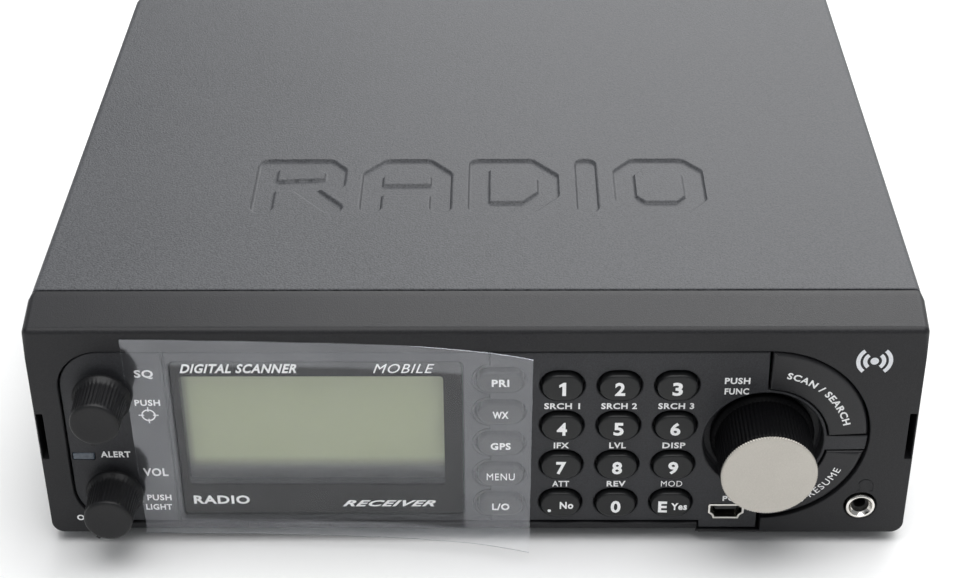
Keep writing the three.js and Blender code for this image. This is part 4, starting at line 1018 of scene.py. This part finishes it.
def stroke(skin, start, end, width, face):
    """A thin printed bar from one point to another."""
    along = (end - start) / np.linalg.norm(end - start)
    side = np.array([-along[1], along[0]]) * width / 2
    slab(skin, np.array([start - side, end - side, end + side, start + side]), face)


def make_front_printing():
    """Words beside the controls, the sight mark by the squelch knob, and a mark of radio waves."""
    skin = Skin()
    face = level(PANEL_FACE)
    for text, x, z, height, width in PANEL_WORDS:
        print_word(skin, text, x, z, height, face, width)
    for key, (text, width) in KEY_WORDS.items():
        x, z, _, height, _ = cap_of(key)
        print_word(skin, text, x, z - height / 2 - 2.05, 1.55, face, width)
    sight, printed = (-67.8, 31.2), PANEL_FACE - PRINT_THICK
    outer, inner = circle(*sight, 1.5, 32), circle(*sight, 1.2, 32)
    skin.walls((outer, inner, inner, outer, outer), (PANEL_FACE, PANEL_FACE, printed, printed, PANEL_FACE))
    for turn in (0, math.pi / 2, math.pi, 1.5 * math.pi):
        way = np.array([math.cos(turn), math.sin(turn)])
        stroke(skin, sight + 0.9 * way, sight + 2.1 * way, 0.25, PANEL_FACE)
    skin.piece("panel_printing", "root", PRINT, weighted=False)

    skin = Skin()
    print_word(skin, "OFF", -84.0, 4.07, 1.5, level(0.0), 3.7)
    skin.piece("bezel_printing", "root", PRINT, weighted=False)

    skin = Skin()
    for text, x, z, height, width, slant in WINDOW_WORDS:
        print_word(skin, text, x, z, height, level(WINDOW_FACE), width, slant=slant)
    skin.piece("window_printing", "root", PRINT, weighted=False)

    skin = Skin()
    mark, half_band, spread = (81.0, 45.2), 0.42, 50
    for radius in (1.9, 3.3):
        for side in (0, 180):
            slab(skin, closed(arc(*mark, radius + half_band, side - spread, side + spread, 12),
                              arc(*mark, radius - half_band, side + spread, side - spread, 12)), 0.0)
    slab(skin, circle(*mark, 0.85, 24), 0.0)
    skin.piece("radio_wave_mark", "root", PRINT_GREY, weighted=False)


# ---------------------------------------------------------------- knobs and dial

def make_dial():
    """The dial's body is turned with fine ribs round its side, a ripple of its radius by a cosine
    of the angle; its cap is turned with a knurled rim and a face that dishes in slightly."""
    face, radius, skirt = DIAL_FACE + 0.8, DIAL_RADIUS, DIAL_RADIUS + 1
    back = box_of("dial_knob")[1][1]

    def ribs(angle, r, y):
        """Seventy-two ribs along the body's side."""
        return 0.13 * np.cos(72 * angle) * (r > radius - 0.3) * (y > face + 0.4) * (y < back - 2)

    skin = Skin()
    side = [(radius, y) for y in np.linspace(face + 0.45, back - 2.1, 8)]
    turned(skin, DIAL_X, DIAL_Z, [
        (5.3, face), (radius - 0.3, face), (radius - 0.05, face + 0.2), *side,
        (radius, back - 1.9), (skirt - 0.25, back - 1.35), (skirt, back - 1.0), (skirt, back - 0.2),
        (skirt - 0.2, back), (3.2, back), (3.2, face + 2.1), (5.3, face + 1.2), (5.3, face)], 432, ribs)
    skin.piece("dial_body", "dial_push", DIAL_BLACK, ["dial_knob"], crease=50)

    def knurl(angle, r, y):
        """A hundred and eight fine teeth round the cap's rim."""
        return 0.07 * np.cos(108 * angle) * (r > radius - 0.35) * (y > DIAL_FACE + 0.1)

    skin = Skin()
    front = [(r, DIAL_FACE + 0.10 * (1 - (r / (radius - 0.7)) ** 2)) for r in
             (HUB, 1.5, 3, 4.5, 6, 7.5, radius - 0.7)]
    turned(skin, DIAL_X, DIAL_Z, front + [
        (radius - 0.45, DIAL_FACE), (radius - 0.28, DIAL_FACE + 0.05), (radius - 0.12, DIAL_FACE + 0.16),
        (radius - 0.05, DIAL_FACE + 0.3), (radius - 0.05, DIAL_FACE + 0.5), (5.0, DIAL_FACE + 0.5),
        (5.0, DIAL_FACE + 1.7), (HUB, DIAL_FACE + 1.7), (HUB, DIAL_FACE + 0.1)], 648, knurl)
    skin.piece("dial_face", "dial_push", SILVER, ["dial_cap"], crease=25)


def make_small_knob(name, z, pointer_turn):
    """A turned knob with fine flutes, a ripple of its radius by a cosine of the angle, a foot that
    flares, and a narrow pointer along its side."""
    low, high = box_of(name + "_knob")
    face, back, radius = low[1], high[1], 5.0

    def flutes(angle, r, y):
        """Forty flutes along the side, fading out at both ends."""
        depth = smooth(y, face + 0.5, face + 1.2) * (1 - smooth(y, back - 2.4, back - 1.2))
        return 0.07 * np.cos(40 * angle) * depth * (r > radius - 0.3)

    skin = Skin()
    side = [(radius + 0.04 + 0.2 * share ** 2, face + 0.55 + share * (back - face - 2.6))
            for share in np.linspace(0, 1, 12)]
    turned(skin, KNOB_X, z, [
        (HUB, face + 0.12), (3.4, face + 0.1), (4.2, face), (4.65, face + 0.04),
        (4.9, face + 0.22), *side,
        (radius + 0.55, back - 1.4), (radius + 0.95, back - 0.9), (radius + 1.08, back - 0.5),
        (radius + 1.05, back - 0.12), (radius + 0.9, back), (3.2, back), (3.2, face + 2.0),
        (HUB, face + 2.0), (HUB, face + 0.12)], 320, flutes)
    turn = -math.pi / 2 - pointer_turn
    out, across = np.array([[math.cos(turn), math.sin(turn)], [-math.sin(turn), math.cos(turn)]])
    sides = np.array([-1, -1, 1, 1])[:, None]
    skin.walls(
        [(KNOB_X, z) + reach * out + sides * half * across
         for reach, half in ((4.4, 0.45), (radius + 0.3, 0.45), (radius + 0.45, 0.25))],
        [np.array([face + 0.3, back - 2.0, back - 2.0, face + 0.3])] * 3, start_cap=True, end_cap=True)
    skin.piece(name + "_grip", name + "_push", KNOB, [name + "_knob"], crease=40)


# ---------------------------------------------------------------- front connectors

def make_data_port():
    """A plated shell that is wider above than below, with a tongue inside."""
    outline = port_outline()
    mouth = offset(outline, -0.42)
    back, lip = port_high[1], PANEL_FACE - 0.02
    floor = back - 1.5
    skin = Skin()
    skin.walls([outline, outline, mouth, mouth], [back, lip, lip, floor])
    skin.sheet_between([outline], back)
    skin.sheet_between([mouth], floor)
    skin.piece("data_port_shell", "root", NICKEL, ["data_port"], crease=30)
    skin = Skin()
    tongue = rounded_box(PORT_X - 2.3, PORT_X + 2.3, PORT_Z - 0.1, PORT_Z + 0.9, 0.15, 2)
    plate(skin, tongue, PANEL_FACE + 0.8, back - 1.4, 0.1, steps=2)
    skin.piece("data_port_tongue", "root", BLACK)


def make_headphone_jack():
    """A turned ring with a rolled lip, a bore with a floor, and the jack's body behind the bezel."""
    back, bore, ring = box_of("headphone_jack")[1][1], 1.85, 3.1
    skin = Skin()
    turned(skin, JACK_X, JACK_Z, [
        (ring, 2.6), (ring, -0.2), (ring - 0.08, -0.38), (ring - 0.3, -0.5), (ring - 0.6, -0.46),
        (bore + 0.3, 0.1), (bore + 0.05, 0.3), (bore, 0.6), (bore, back - 0.9), (HUB, back - 0.9),
        (HUB, back), (3.5, back), (3.5, 2.7), (ring, 2.6)], 96)
    skin.piece("headphone_jack_ring", "root", NICKEL, ["headphone_jack"], crease=35)
    skin = Skin()
    turned(skin, JACK_X, JACK_Z, [(bore - 0.02, 1.2), (bore - 0.5, 1.2), (bore - 0.5, back - 1.0),
                                  (bore - 0.02, back - 1.0), (bore - 0.02, 1.2)], 48)
    skin.piece("headphone_jack_lining", "root", BLACK)


# ---------------------------------------------------------------- protective film

FILM_THICK = 0.2


def film_bend(share):
    """How far the film stands off, as a share of its lift: slowly at first, then in a curl."""
    return 0.27 * share + 0.73 * share ** 5


def make_film():
    """A sheet swept along x, close over the window at its left and curling forward to its right by
    film_bend, with slight waves, cut a little out of square."""
    low, high = box_of("protective_film")
    lift, flat = high[1] - low[1] - FILM_THICK, high[1] - FILM_THICK
    across, up = 72, 16
    share = np.linspace(0, 1, across)[:, None]
    height = np.linspace(0, 1, up)[None, :]
    z = low[2] + height * (high[2] - low[2] + 0.5 * (1 - share))
    x = low[0] + share * (high[0] - low[0]) + 0.7 * (1 - share) * (1 - height) + 0.5 * share * height
    y = flat - lift * film_bend(share)
    y = y - 0.10 * np.sin(x * 0.19 + z * 0.11) ** 2 - 0.06 * np.sin(x * 0.07 - z * 0.23) ** 2
    slope = np.gradient(y, axis=0) / np.gradient(x, axis=0)
    length = np.sqrt(1 + slope ** 2)
    front = np.stack(np.broadcast_arrays(x, y, z), -1)
    rear = front + np.stack(np.broadcast_arrays(-slope / length, 1 / length, 0 * z), -1) * FILM_THICK
    rims = [np.concatenate([side[:, 0], side[-1, 1:], side[::-1, -1][1:], side[0, ::-1][1:-1]])
            for side in (front, rear)]
    skin = Skin()
    i, j = np.meshgrid(np.arange(across - 1), np.arange(up - 1), indexing="ij")
    corner = i * up + j
    quads = np.stack([corner, corner + up, corner + up + 1, corner + 1], -1).reshape(-1, 4)
    skin.put(front, quads)
    skin.put(rear, quads[:, ::-1])
    skin.rings(rims)
    film = skin.piece("clear_protective_film", "root", FILM, ["protective_film"], crease=60,
                      weighted=False)
    areas = np.zeros(len(film.data.polygons))
    film.data.polygons.foreach_get("area", areas)
    largest_cut = 1.2 * FILM_THICK * MM * (high[2] - low[2]) / (up - 1) * MM
    cut = (areas < largest_cut).astype(float)
    mark = film.data.attributes.new("cut_edge", "FLOAT", "FACE")
    mark.data.foreach_set("value", cut)


# ---------------------------------------------------------------- case

SUNK_WORD = "RADIO"
SUNK_LETTERS = {         # each letter's width as a share, and its lines
    "R": (1.0, [[(0, 0), (0, 1), (.85, 1), (1, .85), (1, .55), (0, .5)], [(.5, .5), (1, 0)]]),
    "A": (1.0, [[(0, 0), (0, .75), (.25, 1), (.75, 1), (1, .75), (1, 0)], [(0, .4), (1, .4)]]),
    "D": (1.0, [[(0, 0), (0, 1), (.7, 1), (1, .7), (1, .3), (.7, 0), (0, 0)]]),
    "I": (0.0, [[(0, 0), (0, 1)]]),
    "O": (1.0, [[(.2, 0), (0, .2), (0, .8), (.2, 1), (.8, 1), (1, .8), (1, .2), (.8, 0), (.2, 0)]])}
SUNK_LEFT, SUNK_RIGHT, SUNK_FRONT, SUNK_REAR = -50.0, 51.0, 45.5, 69.0
SUNK_STROKE, SUNK_GAP, SUNK_DEPTH = 4.6, 4.0, 0.6


def sunk_word(x, y):
    """How far the pressed word goes down at (x, y): its depth within half a stroke's width of any
    letter's line, with a short slope at its edge."""
    half = SUNK_STROKE / 2
    shares = [SUNK_LETTERS[letter][0] for letter in SUNK_WORD]
    used = len(SUNK_WORD) * SUNK_STROKE + (len(SUNK_WORD) - 1) * SUNK_GAP
    span = (SUNK_RIGHT - SUNK_LEFT - used) / sum(shares)
    nearest = np.full(np.shape(x), 1e3)
    left = SUNK_LEFT + half
    for letter in SUNK_WORD:
        share, lines = SUNK_LETTERS[letter]
        for line in lines:
            spots = np.array([(left + a * share * span, SUNK_FRONT + half
                               + b * (SUNK_REAR - SUNK_FRONT - SUNK_STROKE)) for a, b in line])
            for (ax, ay), (bx, by) in zip(spots, spots[1:]):
                dx, dy = bx - ax, by - ay
                along = np.clip(((x - ax) * dx + (y - ay) * dy) / (dx * dx + dy * dy), 0, 1)
                nearest = np.minimum(nearest, np.hypot(x - ax - along * dx, y - ay - along * dy))
        left += share * span + SUNK_STROKE + SUNK_GAP
    return SUNK_DEPTH * (1 - smooth(nearest, half - 0.2, half + 0.25))


def make_cover():
    """An upside-down U of sheet swept from front to rear; over the pressed word its top goes down
    by sunk_word, and its underside follows."""
    low, high = box_of("top_cover")
    half, top, hem, sheet = high[0], high[2], low[2], 1.2
    r, inner = 1.6, 0.6
    fine = np.arange(SUNK_LEFT - 0.5, SUNK_RIGHT + 0.51, 0.25)
    outer_top = np.concatenate([np.linspace(half - r, SUNK_RIGHT + 3, 7), fine[::-1],
                                np.linspace(SUNK_LEFT - 3, -half + r, 7)])
    side = np.linspace(hem + 0.3, top - r - 0.5, 6)
    loop = closed(
        [(half - sheet, hem + 0.1), (half - sheet + 0.1, hem), (half - 0.2, hem), (half, hem + 0.2)],
        [(half, z) for z in side[1:]], arc(half - r, top - r, r, 0, 90, 8),
        [(x, top) for x in outer_top[1:]],
        arc(-half + r, top - r, r, 90, 180, 8), [(-half, z) for z in side[:0:-1]],
        [(-half, hem + 0.2), (-half + 0.2, hem), (-half + sheet - 0.1, hem), (-half + sheet, hem + 0.1)],
        [(-half + sheet, z) for z in side[1:]],
        arc(-half + sheet + inner, top - sheet - inner, inner, 180, 90, 4),
        [(x, top - sheet) for x in np.linspace(-half + 4, half - 4, 41)],
        arc(half - sheet - inner, top - sheet - inner, inner, 90, 0, 4),
        [(half - sheet, z) for z in side[:0:-1]])
    front, rear = low[1], high[1]
    stations = np.concatenate([
        [front, front + 0.12, front + 0.4, front + 6], np.linspace(front + 12, SUNK_FRONT - 3, 4),
        np.arange(SUNK_FRONT - 0.5, SUNK_REAR + 0.51, 0.2), np.linspace(SUNK_REAR + 4, rear - 3, 9),
        [rear - 0.4, rear - 0.12, rear]])
    drawn = np.zeros(len(stations))
    drawn[[0, -1]] = 0.18
    drawn[[1, -2]] = 0.05
    on_top = (loop[:, 1] > top - sheet - 0.01) & (np.abs(loop[:, 0]) < half - 4)
    loops = [offset(loop, -inset) for inset in drawn]
    for ring, y in zip(loops, stations):
        ring[:, 1] -= on_top * sunk_word(ring[:, 0], y)
    skin = Skin()
    skin.walls(loops, stations)
    for end in (0, -1):
        skin.sheet_between([offset(loop, -drawn[end])], stations[end])
    skin.piece("cover_shell", "root", PAINT, ["top_cover"], crease=50)


def make_feet():
    """Rubber feet: a domed disc with a rolled edge on a narrower neck, turned about an upright axis."""
    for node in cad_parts:
        if not node.startswith("foot_"):
            continue
        low, high = box_of(node)
        middle, radius = (low + high) / 2, (high[0] - low[0]) / 2
        profile = np.array([
            (HUB, low[2] + 0.12), (0.5 * radius, low[2] + 0.05), (0.8 * radius, low[2]),
            (radius - 0.25, low[2] + 0.1), (radius, low[2] + 0.45), (radius, low[2] + 1.5),
            (radius - 0.35, low[2] + 2.0), (radius - 0.9, low[2] + 2.3), (radius - 0.9, high[2]),
            (HUB, high[2]), (HUB, low[2] + 0.12)])
        angle = np.linspace(0, 2 * math.pi, 64, endpoint=False)
        reach = profile[:, :1]
        skin = Skin()
        skin.rings(np.stack([middle[0] + reach * np.cos(angle), middle[1] + reach * np.sin(angle),
                             np.repeat(profile[:, 1:], len(angle), 1)], -1))
        skin.piece(node + "_pad", "root", FOOT, [node])


# ---------------------------------------------------------------- everything

NODE_FINISHES = {
    "chassis_tray": PAINT, "rear_panel": PAINT, "front_board": BOARD, "main_board": BOARD,
    "ribbon_cable": RIBBON, "speaker": BLACK, "antenna_connector": NICKEL, "power_jack": BLACK,
    "power_header": BLACK, "audio_jack_pair": BLACK, "serial_port": STEEL}


def finish_nodes():
    """The plain pieces that stay as they are get their finishes."""
    finishes = dict(NODE_FINISHES)
    for name in ("squelch", "volume", "dial"):
        finishes[name + "_housing"] = finishes[name + "_rotor"] = BLACK
        finishes[name + "_shaft"] = STEEL
    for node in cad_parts:
        if node.startswith("cover_screw"):
            finishes[node] = SCREW
    for node, material in finishes.items():
        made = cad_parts[node]
        made.data.materials.clear()
        made.data.materials.append(material)


make_camera()
make_lights()
make_floor()
make_bezel()
make_panel()
make_display()
make_light()
make_push_keys()
make_curved_keys()
make_front_printing()
make_dial()
make_small_knob("squelch", SQUELCH_Z, 0.15)
make_small_knob("volume", VOLUME_Z, 0.5)
make_data_port()
make_headphone_jack()
make_film()
make_cover()
make_feet()
finish_nodes()
